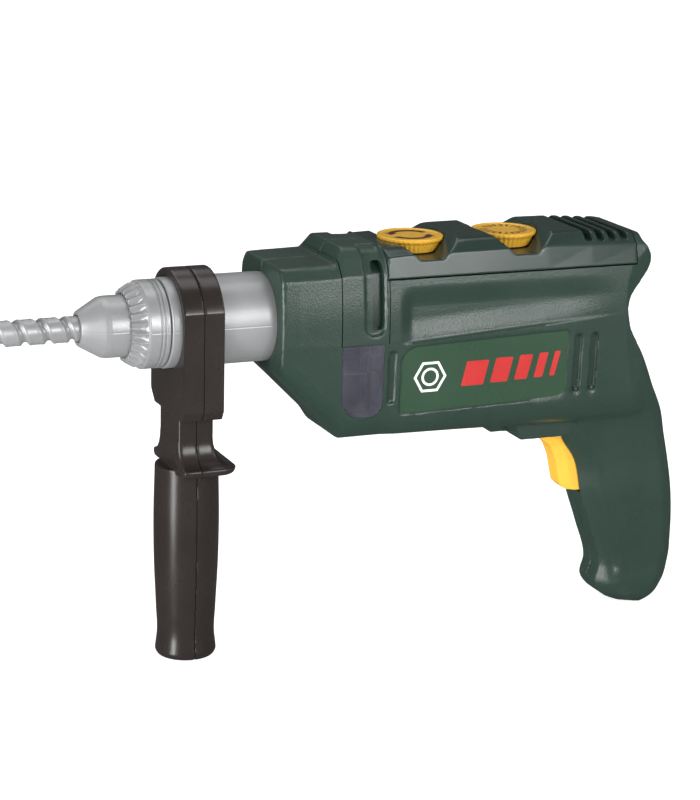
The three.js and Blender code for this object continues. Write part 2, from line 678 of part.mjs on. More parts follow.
const reductionZ = (-(spindleTeeth + smallTeeth) * gearModule) / 2;
const motorZ = reductionZ + ((largeTeeth + pinionTeeth) * gearModule) / 2;
const frontPlateX = 44;
const plateThickness = 3;
const motorCollar = 3.9;
const gearFront = 52;
const stageTwo = gearFront + gearFace + 3;
const rearPlateX = stageTwo + gearFace + 2;
const shaftRadius = 1.5;
function makeGears() {
  const up = Math.PI / 2;
  const bore = spindleRadius + runningFit;
  place('spindle_gear', gear(spindleTeeth, up, gearFront, gearFront + gearFace, 0)
    .subtract(rodX(bore, 0, 90, 24)), whitePlastic);
  // The small wheel has a tooth gap straight up, where a spindle tooth points straight down.
  const small = gear(smallTeeth, up + Math.PI / smallTeeth, gearFront - 0.5, stageTwo, reductionZ);
  const large = gear(largeTeeth, up, stageTwo - 0.5, stageTwo + gearFace, reductionZ);
  const axle = rodX(shaftRadius + runningFit, 0, 90, 16, reductionZ);
  place('reduction_gear', small.add(large).subtract(axle), whitePlastic);
  place('reduction_shaft', rodX(shaftRadius, frontPlateX + 1.2, rearPlateX + plateThickness - 0.4, 16,
    reductionZ), steel);
  const pinion = gear(pinionTeeth, -up + Math.PI / pinionTeeth, stageTwo, stageTwo + gearFace, motorZ)
    .subtract(rodX(1 + runningFit, 0, 90, 12, motorZ));
  place('motor_pinion', pinion, brass);
  place('motor_shaft', rodX(1, stageTwo - 0.2, rearPlateX + 5, 12, motorZ), steel);
  const plateHalfWidth = 22;
  const shaftHole = rodX(shaftRadius + 0.04, 0, 90, 16, reductionZ);
  const plate = (from, to, low) => box(from, to, -plateHalfWidth, plateHalfWidth, low, 16)
    .subtract(shaftHole);
  place('gearbox_front_plate', plate(frontPlateX, frontPlateX + plateThickness + 1, -31)
    .subtract(rodX(bushRadius + gap, 0, 90, 24)), greyPlastic);
  place('gearbox_rear_plate', plate(rearPlateX, rearPlateX + plateThickness, -34)
    .subtract(rodX(motorCollar + gap, 0, 90, 24, motorZ)), greyPlastic);
}

function makeMotor() {
  const front = rearPlateX + plateThickness + gap;
  const can = turnedX([
    [1.3, front - 2], [motorCollar, front - 2], [motorCollar, front], [motorRadius - 1, front],
    [motorRadius, front + 1],
    [motorRadius, front + motorLength - 1], [motorRadius - 1, front + motorLength],
    [0, front + motorLength], [0, front + 6], [1.3, front + 6], [1.3, front - 2],
  ], 32, motorZ);
  place('motor', can, steel);
}

// ---------- side handle ----------
function gripProfile(inset) {
  const foot = footZ + (inset ? wall : 0);
  return [
    [0, foot], [gripFootRadius - 1 - inset, foot], [gripFootRadius + 0.6 - inset, foot + 1.6],
    [gripFootRadius + 0.6 - inset, foot + 4], [gripFootRadius - inset, foot + 7],
    [gripRadius - 0.4 - inset, -110], [gripRadius - inset, -90], [gripRadius - 0.4 - inset, guardZ - 3.5],
    [0, guardZ - 3.5],
  ];
}

function handleBlank() {
  const clampBody = alongX(clampOutline(), handleX - clampWidth / 2, handleX + clampWidth / 2, 0.8);
  const neck = alongZ(rounded([
    [handleX - 8.3, -neckHalfWidth, 2], [handleX + 8, -neckHalfWidth, 2],
    [handleX + 8, neckHalfWidth, 2], [handleX - 8.3, neckHalfWidth, 2],
  ]), guardZ, clampBottom + 2);
  const flare = [];
  const flareHeight = 11;
  const turns = 5;
  for (let k = 0; k <= turns; k++) {
    const a = (Math.PI / 2) * (k / turns);
    const out = (1 - Math.cos(a)) * (guardHalfWidth - neckHalfWidth);
    const [front, rear, half] = [handleX - 8.6, handleX + 8.2 + out, neckHalfWidth + out];
    flare.push({
      at: guardZ + flareHeight - Math.sin(a) * flareHeight,
      outline: rounded([
        [front, -half, 1.5], [rear, -half, 2 + out / 2], [rear, half, 2 + out / 2], [front, half, 1.5],
      ]),
    });
  }
  flare.push({ at: guardZ - 3.6, outline: flare.at(-1).outline.map((p) => p.clone()) });
  const guard = loft(flare, (z, x, y) => [x, y, z]);
  const grip = turnedZ(gripProfile(0), 28, handleX);
  return clampBody.add(neck).add(guard).add(grip);
}

// Ring over the barrel with straight sides running down from it.
function clampOutline() {
  const outline = [];
  const start = Math.acos(clampHalfWidth / clampOuterRadius);
  const steps = 12;
  for (let k = 0; k <= steps; k++) {
    const a = start + ((Math.PI - 2 * start) * k) / steps;
    outline.push(point(clampOuterRadius * Math.cos(a), clampOuterRadius * Math.sin(a)));
  }
  outline.push(point(-clampHalfWidth, clampBottom));
  outline.push(point(clampHalfWidth, clampBottom));
  return outline;
}

const handleScrewZs = [-49, -98, -138];
function makeHandle() {
  const full = handleBlank();
  let blank = full
    .subtract(rodX(barrelRadius + gap, -60, 0, 36))
    .subtract(turnedZ(gripProfile(wall), 16, handleX))
    .subtract(box(handleX - 5.8, handleX + 5.5, -10.5, 10.5, guardZ - 8, clampBottom + 8));
  for (const z of handleScrewZs) {
    blank = blank.add(rodX(bossRadius, handleX - 40, handleX + 40, 12, z).intersect(full));
    blank = blank.subtract(rodX(screwRadius + gap, handleX - 6, handleX + 40, 12, z));
    blank = blank.subtract(rodX(screwHeadRadius + gap, handleX + 5.6, handleX + 40, 12, z));
  }
  const front = box(handleX - 60, handleX - gap / 2, -60, 60, -200, 60);
  const rear = box(handleX + gap / 2, handleX + 60, -60, 60, -200, 60);
  place('handle_front_half', blank.intersect(front), blackPlastic);
  place('handle_rear_half', blank.intersect(rear), blackPlastic);
  handleScrewZs.forEach((z, i) => {
    const seat = handleX + 5.6 + gap;
    const screw = rodX(screwHeadRadius, seat, seat + screwHeadHeight, 12, z)
      .add(rodX(screwRadius, handleX - 5.6, seat + 0.5, 12, z));
    place(`handle_screw_${i + 1}`, screw, steel);
  });
}

// ---------- trigger ----------
const switchFront = triggerRear + triggerTravel + 1.5;
const springRadius = 1.9;
const springPocket = 3;
function makeTrigger() {
  const outline = rounded([
    [137.5, -63], [139, -67.2, 2], [144.6, -71.2, 3], [147.6, -78, 6], [150.4, -90.6, 2],
    [153.6, triggerTip, 2], [163.5, triggerTip], [triggerRear, springHeight], [triggerRear, -63],
  ]);
  const trigger = alongY(outline, -triggerHalfWidth, triggerHalfWidth, 0.8)
    .subtract(rodX(springRadius + 0.7, triggerRear - springPocket, triggerRear + 3, 16, springHeight));
  place('trigger', trigger, yellowPlastic);
  place('trigger_spring', spring(triggerRear - springPocket + 0.4, switchFront - 2.2), steel);
  const body = box(switchFront, switchFront + 6, -6, 6, springHeight - 8, springHeight + 14);
  const button = box(switchFront - 1, switchFront + 0.5, -2, 2, springHeight + 8, springHeight + 12);
  const cup = rodX(1.2, switchFront - 2, switchFront + 0.5, 12, springHeight);
  place('trigger_switch', body.add(button).add(cup), blackPlastic);
}

// The trigger's coil spring, along X from start to end.
function spring(start, end) {
  const path = [];
  const wire = 0.25; // half the thickness of the wire
  const perCoil = 10;
  const count = 4 * perCoil;
  for (let k = 0; k <= count; k++) {
    const a = (2 * Math.PI * k) / perCoil;
    const along = start + wire + ((end - start - 2 * wire) * k) / count;
    path.push(new THREE.Vector3(along, springRadius * Math.cos(a), springRadius * Math.sin(a)));
  }
  const section = new THREE.Shape(rounded([
    [-wire, -wire], [wire, -wire], [wire, wire], [-wire, wire],
  ]));
  const geometry = new THREE.ExtrudeGeometry(section, {
    steps: count, bevelEnabled: false, extrudePath: new THREE.CatmullRomCurve3(path),
  });
  return solid(geometry.translate(0, 0, springHeight));
}

// ---------- batteries ----------
// Puts a piece of the battery bay, drawn upright about the origin, into the lean of the grip.
function inBay(body) {
  return body.rotate([0, -THREE.MathUtils.radToDeg(gripTilt), 0]).translate([bayX, 0, bayZ]);
}
function makeBatteries() {
  const half = cellLength / 2;
  const cell = turnedZ([
    [0, -half], [cellRadius - 0.4, -half], [cellRadius, -half + 0.4], [cellRadius, half - 1.4],
    [cellRadius - 0.5, half - 1], [2.7, half - 1], [2.7, half], [0, half],
  ], 24);
  place('battery_cell_1', inBay(cell.translate([-cellSpacing / 2, 0, 0])), cellJacket);
  const flipped = cell.rotate([180, 0, 0]);
  place('battery_cell_2', inBay(flipped.translate([cellSpacing / 2, 0, 0])), cellJacket);
  const plateHalf = 0.25;
  const plateAt = half + plateHalf + gap;
  const plateReach = cellSpacing / 2 + cellRadius - 1.4;
  const plate = box(-plateReach, plateReach, -6.5, 6.5, -plateHalf, plateHalf);
  place('contact_top', inBay(plate.translate([0, 0, plateAt])), brass);
  place('contact_bottom', inBay(plate.translate([0, 0, -plateAt])), brass);
}

function makeDoor() {
  const door = outer.subtract(inner).intersect(alongY(doorShape(0), 8, 40));
  const screwX = bayAxisAt(doorTop) - bayRoom + 8.4;
  const screwZ = doorTop - 5;
  const half = 17; // the grip's half width there
  const drilled = door.subtract(rodY(screwRadius + gap, 5, 40, screwX, screwZ))
    .subtract(rodY(screwHeadRadius + gap, half - 1.2, 40, screwX, screwZ));
  place('battery_cover', drilled, greenPlastic);
  const screw = rodY(screwHeadRadius, half - 0.8, half + 0.2, screwX, screwZ)
    .add(rodY(screwRadius, half - 4, half - 0.6, screwX, screwZ));
  place('battery_cover_screw', screw, steel);
}

// ---------- sound board and speaker ----------
function makeElectronics() {
  const [boardX, boardZ] = [speakerX - 18, speakerZ - 15];
  place('circuit_board', box(boardX, boardX + 38, -12, -10.4, boardZ, boardZ + 28), boardGreen);
  place('speaker', solid(turned([
    [0, 12], [8, 12], [8, 15], [14, 18], [14, 21], [12.5, 21], [4, 17], [0, 17],
  ], 32).translate(speakerX, 0, speakerZ)), steel);
}

// ---------- case screws ----------
function makeCaseScrews() {
  caseScrews.forEach((s, i) => {
    const screw = rodY(screwHeadRadius, s.seat, s.seat + screwHeadHeight, s.x, s.z)
      .add(rodY(screwRadius, -screwDepth, s.seat + 0.5, s.x, s.z));
    place(`case_screw_${i + 1}`, screw, steel);
  });
}

makeShells();
makeWindows();
makeLamps();
makeCover();
makeDials();
makeBarrel();
makeSpindle();
makeBit();
makeGears();
makeMotor();
makeHandle();
makeTrigger();
makeBatteries();
makeDoor();
makeElectronics();
makeCaseScrews();

// The feet's plane becomes z = 0, and the middle of the drill's length becomes x = 0.
const span = new THREE.Box3().setFromObject(drill);
drill.position.set(-(span.min.x + span.max.x) / 2, 0, -footZ);

export default drill;
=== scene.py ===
"""Toy power drill: the visible skins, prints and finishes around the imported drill.

Shapes are drawn in millimetres in the drill's own layout: the spindle axis is the X axis, the front
face of the housing is x = 0, Z is up, and the bit points along -X. seat() puts a finished piece into
the frame, in metres.
"""
import json
import math

import bpy
import numpy as np
from mathutils import Matrix, Vector


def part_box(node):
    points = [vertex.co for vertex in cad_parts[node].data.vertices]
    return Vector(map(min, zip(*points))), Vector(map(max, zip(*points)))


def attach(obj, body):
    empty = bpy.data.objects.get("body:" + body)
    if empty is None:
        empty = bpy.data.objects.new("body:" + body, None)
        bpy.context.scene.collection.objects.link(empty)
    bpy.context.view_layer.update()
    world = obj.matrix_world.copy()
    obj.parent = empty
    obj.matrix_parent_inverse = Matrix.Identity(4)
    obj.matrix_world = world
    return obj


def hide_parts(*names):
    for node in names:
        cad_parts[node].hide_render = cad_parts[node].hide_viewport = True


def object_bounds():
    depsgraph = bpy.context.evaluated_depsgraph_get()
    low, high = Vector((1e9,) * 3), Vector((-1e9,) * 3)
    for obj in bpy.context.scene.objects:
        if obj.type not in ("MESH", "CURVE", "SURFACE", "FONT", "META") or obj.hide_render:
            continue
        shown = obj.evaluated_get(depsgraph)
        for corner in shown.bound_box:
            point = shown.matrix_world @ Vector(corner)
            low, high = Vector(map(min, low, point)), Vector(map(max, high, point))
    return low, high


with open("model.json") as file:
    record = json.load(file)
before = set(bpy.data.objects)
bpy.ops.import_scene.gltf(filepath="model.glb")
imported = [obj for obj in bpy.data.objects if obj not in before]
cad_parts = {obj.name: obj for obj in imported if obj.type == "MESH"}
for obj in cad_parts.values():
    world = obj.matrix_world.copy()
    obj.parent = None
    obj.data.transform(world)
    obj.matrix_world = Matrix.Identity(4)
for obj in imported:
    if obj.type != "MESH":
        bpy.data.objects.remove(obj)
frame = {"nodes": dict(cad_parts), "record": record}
cad_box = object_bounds()

# ---------- layout ----------
MM = 0.001
HOUSING_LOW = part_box("housing_left")[0]
SPINDLE_LOW, SPINDLE_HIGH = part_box("spindle")
ORIGIN = np.array([HOUSING_LOW.x, 0.0, (SPINDLE_LOW.z + SPINDLE_HIGH.z) / 2])


def box_mm(node):
    """Lowest and highest corners of a CAD node, in the drill's layout."""
    low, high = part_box(node)
    return (np.array(low) - ORIGIN) / MM, (np.array(high) - ORIGIN) / MM


FOOT_Z = box_mm("handle_front_half")[0][2]
REAR_X = 184.0
SEAM = 0.1  # gap left between two half shells
FINE = 1.0  # voxels grow by this while trying things out


# ---------- shape helpers ----------
def rounded(corners, radii, steps=6):
    """Closed outlines with arcs for corners. Each arc is the circle of the given radius that touches
    both edges, swept from one edge to the other by spherical interpolation about its middle."""
    corners = np.asarray(corners, float)
    radii = np.broadcast_to(np.maximum(np.asarray(radii, float), 0.05), corners.shape[:-1])
    back = np.roll(corners, 1, axis=-2) - corners
    ahead = np.roll(corners, -1, axis=-2) - corners
    back_length = np.linalg.norm(back, axis=-1)
    ahead_length = np.linalg.norm(ahead, axis=-1)
    back = back / back_length[..., None]
    ahead = ahead / ahead_length[..., None]
    half = np.arccos(np.clip((back * ahead).sum(-1), -1, 1)) / 2
    half = np.minimum(half, math.pi / 2 - 1e-4)
    cut = np.minimum(radii / np.tan(half), np.minimum(back_length, ahead_length) * 0.49)
    bisector = back + ahead
    bisector = bisector / np.linalg.norm(bisector, axis=-1)[..., None]
    middle = corners + bisector * (cut / np.cos(half))[..., None]
    start = corners + back * cut[..., None] - middle
    end = corners + ahead * cut[..., None] - middle
    turn = (math.pi - 2 * half)[..., None, None]
    t = np.linspace(0, 1, steps + 1)[:, None]
    arc = np.sin((1 - t) * turn) * start[..., None, :] + np.sin(t * turn) * end[..., None, :]
    points = middle[..., None, :] + arc / np.sin(turn)
    return points.reshape(*corners.shape[:-2], -1, 2)


def eased(at, places, values):
    """Values between places, on cubics that keep each place's own slope (Hermite form)."""
    slopes = np.gradient(values, places, axis=0)
    k = np.clip(np.searchsorted(places, at, side="right") - 1, 0, len(places) - 2)
    width = (places[k + 1] - places[k])[:, None]
    t = ((at - places[k]) / width[:, 0])[:, None]
    first = (2 * t**3 - 3 * t**2 + 1) * values[k] + (t**3 - 2 * t**2 + t) * width * slopes[k]
    second = (3 * t**2 - 2 * t**3) * values[k + 1] + (t**3 - t**2) * width * slopes[k + 1]
    return first + second


def smooth_step(low, high, value):
    """0 below low, 1 above high, and 3t^2 - 2t^3 between them."""
    t = np.clip((value - low) / (high - low), 0, 1)
    return t * t * (3 - 2 * t)


def mesh_points(mesh):
    points = np.empty(len(mesh.vertices) * 3, np.float32)
    mesh.vertices.foreach_get("co", points)
    return points.reshape(-1, 3).astype(float)


def set_points(mesh, points):
    mesh.vertices.foreach_set("co", points.astype(np.float32).ravel())
    mesh.update()


def volume(mesh):
    """Sum over the triangles of the tetrahedra that they make with the origin."""
    mesh.calc_loop_triangles()
    corners = np.empty(len(mesh.loop_triangles) * 3, np.int32)
    mesh.loop_triangles.foreach_get("vertices", corners)
    t = mesh_points(mesh)[corners.reshape(-1, 3)]
    return float(np.einsum("ij,ij->", t[:, 0], np.cross(t[:, 1], t[:, 2])) / 6)


def new_piece(name, points, faces):
    """An object from points in millimetres and faces as index lists, turned to face outwards."""
    mesh = bpy.data.meshes.new(name)
    mesh.from_pydata(np.asarray(points).reshape(-1, 3).tolist(), [], faces)
    mesh.update()
    if volume(mesh) < 0:
        mesh.flip_normals()
    obj = bpy.data.objects.new(name, mesh)
    bpy.context.scene.collection.objects.link(obj)
    return obj


def grid_faces(rows, columns, closed_rows=False):
    """Quads of a grid whose columns close on themselves, and its rows too if closed_rows."""
    index = np.arange(rows * columns).reshape(rows, columns)
    below = index if closed_rows else index[:-1]
    above = np.roll(index, -1, 0) if closed_rows else index[1:]
    quads = np.stack([below, np.roll(below, -1, 1), np.roll(above, -1, 1), above], -1)
    return quads.reshape(-1, 4).tolist()


def loft(name, sections):
    """Skin over closed sections of equal count, an array (rows, points, 3), with flat ends."""
    rows, count = sections.shape[:2]
    ends = [list(range(count))[::-1], list(range((rows - 1) * count, rows * count))]
    return new_piece(name, sections, grid_faces(rows, count) + ends)


AXES = {"x": (2, 0, 1), "y": (0, 2, 1), "z": (0, 1, 2)}


def prism(outline, low, high, along, name="prism"):
    """A straight prism: the outline's two coordinates and the place along the axis, put in order.
    Along X the outline is (y, z), along Y it is (x, z), and along Z it is (x, y)."""
    outline = np.asarray(outline, float)
    rows = [np.column_stack([outline, np.full(len(outline), at)]) for at in (low, high)]
    return loft(name, np.stack(rows)[:, :, list(AXES[along])])


def block(x0, x1, y0, y1, z0, z1):
    return prism([(x0, y0), (x1, y0), (x1, y1), (x0, y1)], z0, z1, "z")


def turned(profile, along, sides=96, relief=None, centre=(0.0, 0.0), closed=False, name="turned"):
    """A profile of (radius, height) carried round an axis. relief(angle, height, radius) is added to
    the radius, and centre is the axis's place in the two other coordinates."""
    profile = np.asarray(profile, float)
    angle = np.linspace(0, 2 * math.pi, sides, endpoint=False)[None, :]
    radius, height = profile[:, :1], profile[:, 1:]
    radius = np.maximum(radius, 0.01) + np.zeros_like(angle)
    if relief is not None:
        radius = radius + relief(angle, height + 0 * angle, radius)
    grid = np.stack([radius * np.cos(angle) + centre[0], radius * np.sin(angle) + centre[1],
                     height + 0 * angle], -1)[:, :, list(AXES[along])]
    if closed:
        return new_piece(name, grid, grid_faces(*grid.shape[:2], closed_rows=True))
    return loft(name, grid)


def rod(radius, low, high, along, centre=(0.0, 0.0), sides=24):
    return turned([(radius, low), (radius, high)], along, sides, centre=centre)


def dense(profile, step):
    """A profile with points added along each straight stretch, no further apart than step."""
    profile = np.asarray(profile, float)
    rows = [profile[:1]]
    for a, b in zip(profile[:-1], profile[1:]):
        count = max(1, math.ceil(np.linalg.norm(b - a) / step))
        rows.append(a + (b - a) * (np.arange(1, count + 1) / count)[:, None])
    return np.concatenate(rows)


def rounded_profile(profile, radii, steps=4):
    """An open profile whose inner corners become arcs; its two ends stay where they are."""
    arcs = rounded(profile, radii, steps)[steps + 1:-(steps + 1)]
    return np.concatenate([[profile[0]], arcs, [profile[-1]]])


def applied(obj):
    """The object with its modifiers worked into its mesh."""
    graph = bpy.context.evaluated_depsgraph_get()
    mesh = bpy.data.meshes.new_from_object(obj.evaluated_get(graph))
    old = obj.data
    obj.modifiers.clear()
    obj.data = mesh
    bpy.data.meshes.remove(old)
    return obj


def copied(obj, name="copy"):
    made = obj.copy()
    made.data = obj.data.copy()
    made.name = name
    bpy.context.scene.collection.objects.link(made)
    return made


def combine(base, operation, others, keep=False):
    for other in others:
        modifier = base.modifiers.new("combine", "BOOLEAN")
        modifier.solver = "MANIFOLD"
        modifier.operation = operation
        modifier.object = other
        applied(base)
        if not keep:
            bpy.data.objects.remove(other)
    return base


def join(base, *others):
    return combine(base, "UNION", others)


def cut(base, *others):
    return combine(base, "DIFFERENCE", others)


def common(base, other, keep=False):
    return combine(base, "INTERSECT", [other], keep)


def softened(obj, voxel, rounds):
    """A new even skin over the piece, relaxed so that its edges become small rounds."""
    skin = obj.modifiers.new("skin", "REMESH")
    skin.mode = "VOXEL"
    skin.voxel_size = voxel * FINE
    relax = obj.modifiers.new("relax", "SMOOTH")
    relax.iterations = rounds
    relax.factor = 0.5
    return applied(obj)


def relaxed(obj, weights, rounds):
    """Relaxes the skin only where weights, one number per vertex, are above zero."""
    group = obj.vertex_groups.new(name="soft")
    levels = np.round(weights * 8).astype(int)
    for level in range(1, 9):
        group.add(np.flatnonzero(levels == level).tolist(), level / 8, "REPLACE")
    relax = obj.modifiers.new("relax", "SMOOTH")
    relax.iterations = rounds
    relax.factor = 0.5
    relax.vertex_group = group.name
    applied(obj)
    obj.vertex_groups.clear()
    return obj


def seat(obj, name, body, material, replaces=(), sharp=38):
    """Puts a finished piece into the frame on its body, with its finish and its shading."""
    obj.name = name
    obj.data.name = name
    set_points(obj.data, mesh_points(obj.data) * MM + ORIGIN)
    obj.data.materials.clear()
    obj.data.materials.append(material)
    obj.data.polygons.foreach_set("use_smooth", np.ones(len(obj.data.polygons), bool))
    obj.data.set_sharp_from_angle(angle=math.radians(sharp))
    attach(obj, body)
    if replaces:
        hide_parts(*replaces)
    return obj


# ---------- shared effects ----------
def effect(name, inputs, outputs):
    """An empty node group with float inputs (name: default) and outputs, and its two end nodes."""
    group = bpy.data.node_groups.new(name, "ShaderNodeTree")
    for label, value in inputs.items():
        socket = group.interface.new_socket(label, in_out="INPUT", socket_type="NodeSocketFloat")
        socket.default_value = value
    for label in outputs:
        group.interface.new_socket(label, in_out="OUTPUT", socket_type="NodeSocketFloat")
    return group, group.nodes.new("NodeGroupInput"), group.nodes.new("NodeGroupOutput")


def node(tree, kind, **settings):
    made = tree.nodes.new(kind)
    for key, value in settings.items():
        setattr(made, key, value)
    return made


def maths(tree, operation, first, second, clamp=False):
    made = node(tree, "ShaderNodeMath", operation=operation, use_clamp=clamp)
    for socket, value in zip(made.inputs, (first, second)):
        if isinstance(value, (int, float)):
            socket.default_value = value
        else:
            tree.links.new(value, socket)
    return made.outputs[0]


def spread(tree, value, low, high, out_low=0.0, out_high=1.0):
    made = node(tree, "ShaderNodeMapRange", clamp=True)
    tree.links.new(value, made.inputs["Value"])
    for label, number in (("From Min", low), ("From Max", high), ("To Min", out_low), ("To Max", out_high)):
        if isinstance(number, (int, float)):
            made.inputs[label].default_value = number
        else:
            tree.links.new(number, made.inputs[label])
    return made.outputs[0]


def noise(tree, place, scale, detail):
    """A noise texture's value; its scale is a number or a socket."""
    made = node(tree, "ShaderNodeTexNoise")
    made.inputs["Detail"].default_value = detail
    tree.links.new(place, made.inputs["Vector"])
    if isinstance(scale, (int, float)):
        made.inputs["Scale"].default_value = scale
    else:
        tree.links.new(scale, made.inputs["Scale"])
    return made.outputs["Fac"]


def make_grain_effect():
    """Moulded grain: fine pits over a slower swell for the height, large soft patches, and the fine grain's
    peaks as a mask for painted glints.
    """
    group, start, end = effect("moulded grain", {"Grain per metre": 2400.0, "Patches per metre": 26.0},
                               ("Height", "Patches", "Glint mask"))
    place = node(group, "ShaderNodeTexCoord").outputs["Object"]
    fine = noise(group, place, start.outputs["Grain per metre"], 3.0)
    pits = node(group, "ShaderNodeTexVoronoi")
    group.links.new(place, pits.inputs["Vector"])
    group.links.new(maths(group, "MULTIPLY", start.outputs["Grain per metre"], 0.7), pits.inputs["Scale"])
    slow = noise(group, place, start.outputs["Patches per metre"], 4.0)
    height = maths(group, "ADD", fine, maths(group, "MULTIPLY", pits.outputs["Distance"], 0.6))
    group.links.new(height, end.inputs["Height"])
    group.links.new(spread(group, slow, 0.35, 0.65), end.inputs["Patches"])
    # the fine grain's peaks: where finish() paints glints of light into the colour
    group.links.new(spread(group, fine, 0.52, 0.7), end.inputs["Glint mask"])
    return group


def make_wear_effect():
    """Edge wear: where the surface turns sharply outwards, broken up by a noise."""
    group, start, end = effect("edge wear", {"Onset": 0.53, "Full": 0.6}, ("Mask",))
    bend = node(group, "ShaderNodeNewGeometry").outputs["Pointiness"]
    edge = spread(group, bend, start.outputs["Onset"], start.outputs["Full"])
    place = node(group, "ShaderNodeTexCoord").outputs["Object"]
    broken = spread(group, noise(group, place, 160.0, 5.0), 0.38, 0.6)
    group.links.new(maths(group, "MULTIPLY", edge, broken), end.inputs["Mask"])
    return group


def make_scratch_effect():
    """Handling marks: a few thin bright lines where a stretched noise crosses its middle value."""
    group, start, end = effect("handling marks", {"Marks per metre": 60.0}, ("Mask",))
    place = node(group, "ShaderNodeTexCoord").outputs["Object"]
    turn = node(group, "ShaderNodeMapping")
    turn.inputs["Rotation"].default_value = (0.4, 0.9, 0.2)
    turn.inputs["Scale"].default_value = (1.0, 6.0, 0.35)
    group.links.new(place, turn.inputs["Vector"])
    lines = noise(group, turn.outputs[0], start.outputs["Marks per metre"], 2.0)
    off = maths(group, "ABSOLUTE", maths(group, "SUBTRACT", lines, 0.5), 0)
    group.links.new(spread(group, off, 0.0, 0.012, 1.0, 0.0), end.inputs["Mask"])
    return group


GRAIN = make_grain_effect()
WEAR = make_wear_effect()
MARKS = make_scratch_effect()


# ---------- finishes ----------
def use(tree, group, **values):
    made = node(tree, "ShaderNodeGroup", node_tree=group)
    for label, value in values.items():
        made.inputs[label.replace("_", " ")].default_value = value
    return made


def blend_colours(tree, factor, first, second):
    made = node(tree, "ShaderNodeMix", data_type="RGBA")
    tree.links.new(factor, made.inputs[0])
    for socket, value in ((made.inputs[6], first), (made.inputs[7], second)):
        if isinstance(value, tuple):
            socket.default_value = (*value, 1.0)
        else:
            tree.links.new(value, socket)
    return made.outputs[2]


def shade(colour, factor):
    return tuple(min(1.0, c * factor) for c in colour)


def finish(name, colour, roughness, metallic=0.0, grain=2400.0, depth=0.04, patch=0.12, painted_glints=0.0,
           wear=0.25, marks=0.04, **sockets):
    """A moulded or painted surface: its colour drifts in patches, lightens in the grain's peaks as painted
    glints of light and on rubbed edges, and its roughness and bump follow the same grain."""
    material = bpy.data.materials.new(name)
    material.use_nodes = True
    tree = material.node_tree
    shader = tree.nodes["Principled BSDF"]
    skin = use(tree, GRAIN, Grain_per_metre=grain)
    rubbed = use(tree, WEAR)
    scratched = use(tree, MARKS)
    tone = blend_colours(tree, skin.outputs["Patches"], shade(colour, 1 - patch), shade(colour, 1 + patch))
    # painted glints: the fine grain's peaks lightened in the colour, standing in for light caught by the
    # grain
    if painted_glints:
        painted_glint_dots = maths(tree, "MULTIPLY", skin.outputs["Glint mask"], painted_glints)
        tone = blend_colours(tree, painted_glint_dots, tone, shade(colour, 3.0))
    worn = maths(tree, "ADD", maths(tree, "MULTIPLY", rubbed.outputs["Mask"], wear),
                 maths(tree, "MULTIPLY", scratched.outputs["Mask"], marks), clamp=True)
    tone = blend_colours(tree, worn, tone, shade(colour, 2.4))
    tree.links.new(tone, shader.inputs["Base Color"])
    uneven = spread(tree, skin.outputs["Patches"], 0.0, 1.0, roughness * 0.88, min(1.0, roughness * 1.12))
    tree.links.new(maths(tree, "SUBTRACT", uneven, maths(tree, "MULTIPLY", worn, 0.1), clamp=True),
                   shader.inputs["Roughness"])
    bump = node(tree, "ShaderNodeBump")
    bump.inputs["Strength"].default_value = 1.0
    bump.inputs["Distance"].default_value = depth * MM
    tree.links.new(skin.outputs["Height"], bump.inputs["Height"])
    tree.links.new(bump.outputs[0], shader.inputs["Normal"])
    shader.inputs["Metallic"].default_value = metallic
    for label, value in sockets.items():
        shader.inputs[label.replace("_", " ")].default_value = value
    return material


GREEN = (0.018, 0.039, 0.029)
# the housing green gets painted glints of light on its grain's peaks
HOUSING_GREEN = finish("housing green", GREEN, 0.36, grain=1500.0, depth=0.07, painted_glints=0.1, patch=0.06,
                       Specular_IOR_Level=0.7)
COVER_GREEN = finish("cover green", (0.020, 0.036, 0.029), 0.24, grain=1700.0, depth=0.012, patch=0.06)
LABEL_GREEN = finish("label green", (0.026, 0.061, 0.034), 0.30, grain=1500.0, depth=0.006, wear=0.0,
                     patch=0.04, marks=0.02)
DIAL_YELLOW = finish("dial yellow", (0.74, 0.41, 0.04), 0.27, grain=1400.0, depth=0.008, patch=0.05,
                     wear=0.1, marks=0.03, Subsurface_Weight=0.12, Subsurface_Scale=0.002,
                     Subsurface_Radius=(1.0, 0.5, 0.1))
HANDLE_BLACK = finish("handle black", (0.021, 0.0165, 0.015), 0.25, grain=1900.0, depth=0.014, patch=0.1)
# the silver paint gets painted glints of light on its grain's peaks too
SILVER = finish("silver paint", (0.34, 0.345, 0.35), 0.38, metallic=0.4, grain=5200.0, depth=0.004,
                painted_glints=0.05, patch=0.04, wear=0.12)
GREY_PLASTIC = finish("grey plastic", (0.20, 0.20, 0.19), 0.5, grain=2000.0, depth=0.02)
WHITE_PLASTIC = finish("white plastic", (0.62, 0.60, 0.55), 0.42, grain=2000.0, depth=0.01, wear=0.1)
STEEL = finish("plated steel", (0.46, 0.46, 0.45), 0.28, metallic=1.0, grain=2600.0, depth=0.004)
BRASS = finish("brass", (0.55, 0.38, 0.15), 0.30, metallic=1.0, grain=2600.0, depth=0.004)
JACKET = finish("cell jacket", (0.03, 0.045, 0.07), 0.35, grain=1200.0, depth=0.006)
BOARD = finish("board green", (0.02, 0.11, 0.045), 0.4, grain=900.0, depth=0.006)
PRINT_WHITE = finish("print white", (0.74, 0.75, 0.72), 0.38, grain=1800.0, depth=0.004, wear=0.0)
PRINT_RED = finish("print red", (0.47, 0.022, 0.02), 0.36, grain=1800.0, depth=0.004, wear=0.0)
PRINT_BROWN = finish("print brown", (0.055, 0.018, 0.008), 0.42, grain=1800.0, depth=0.004, wear=0.0)


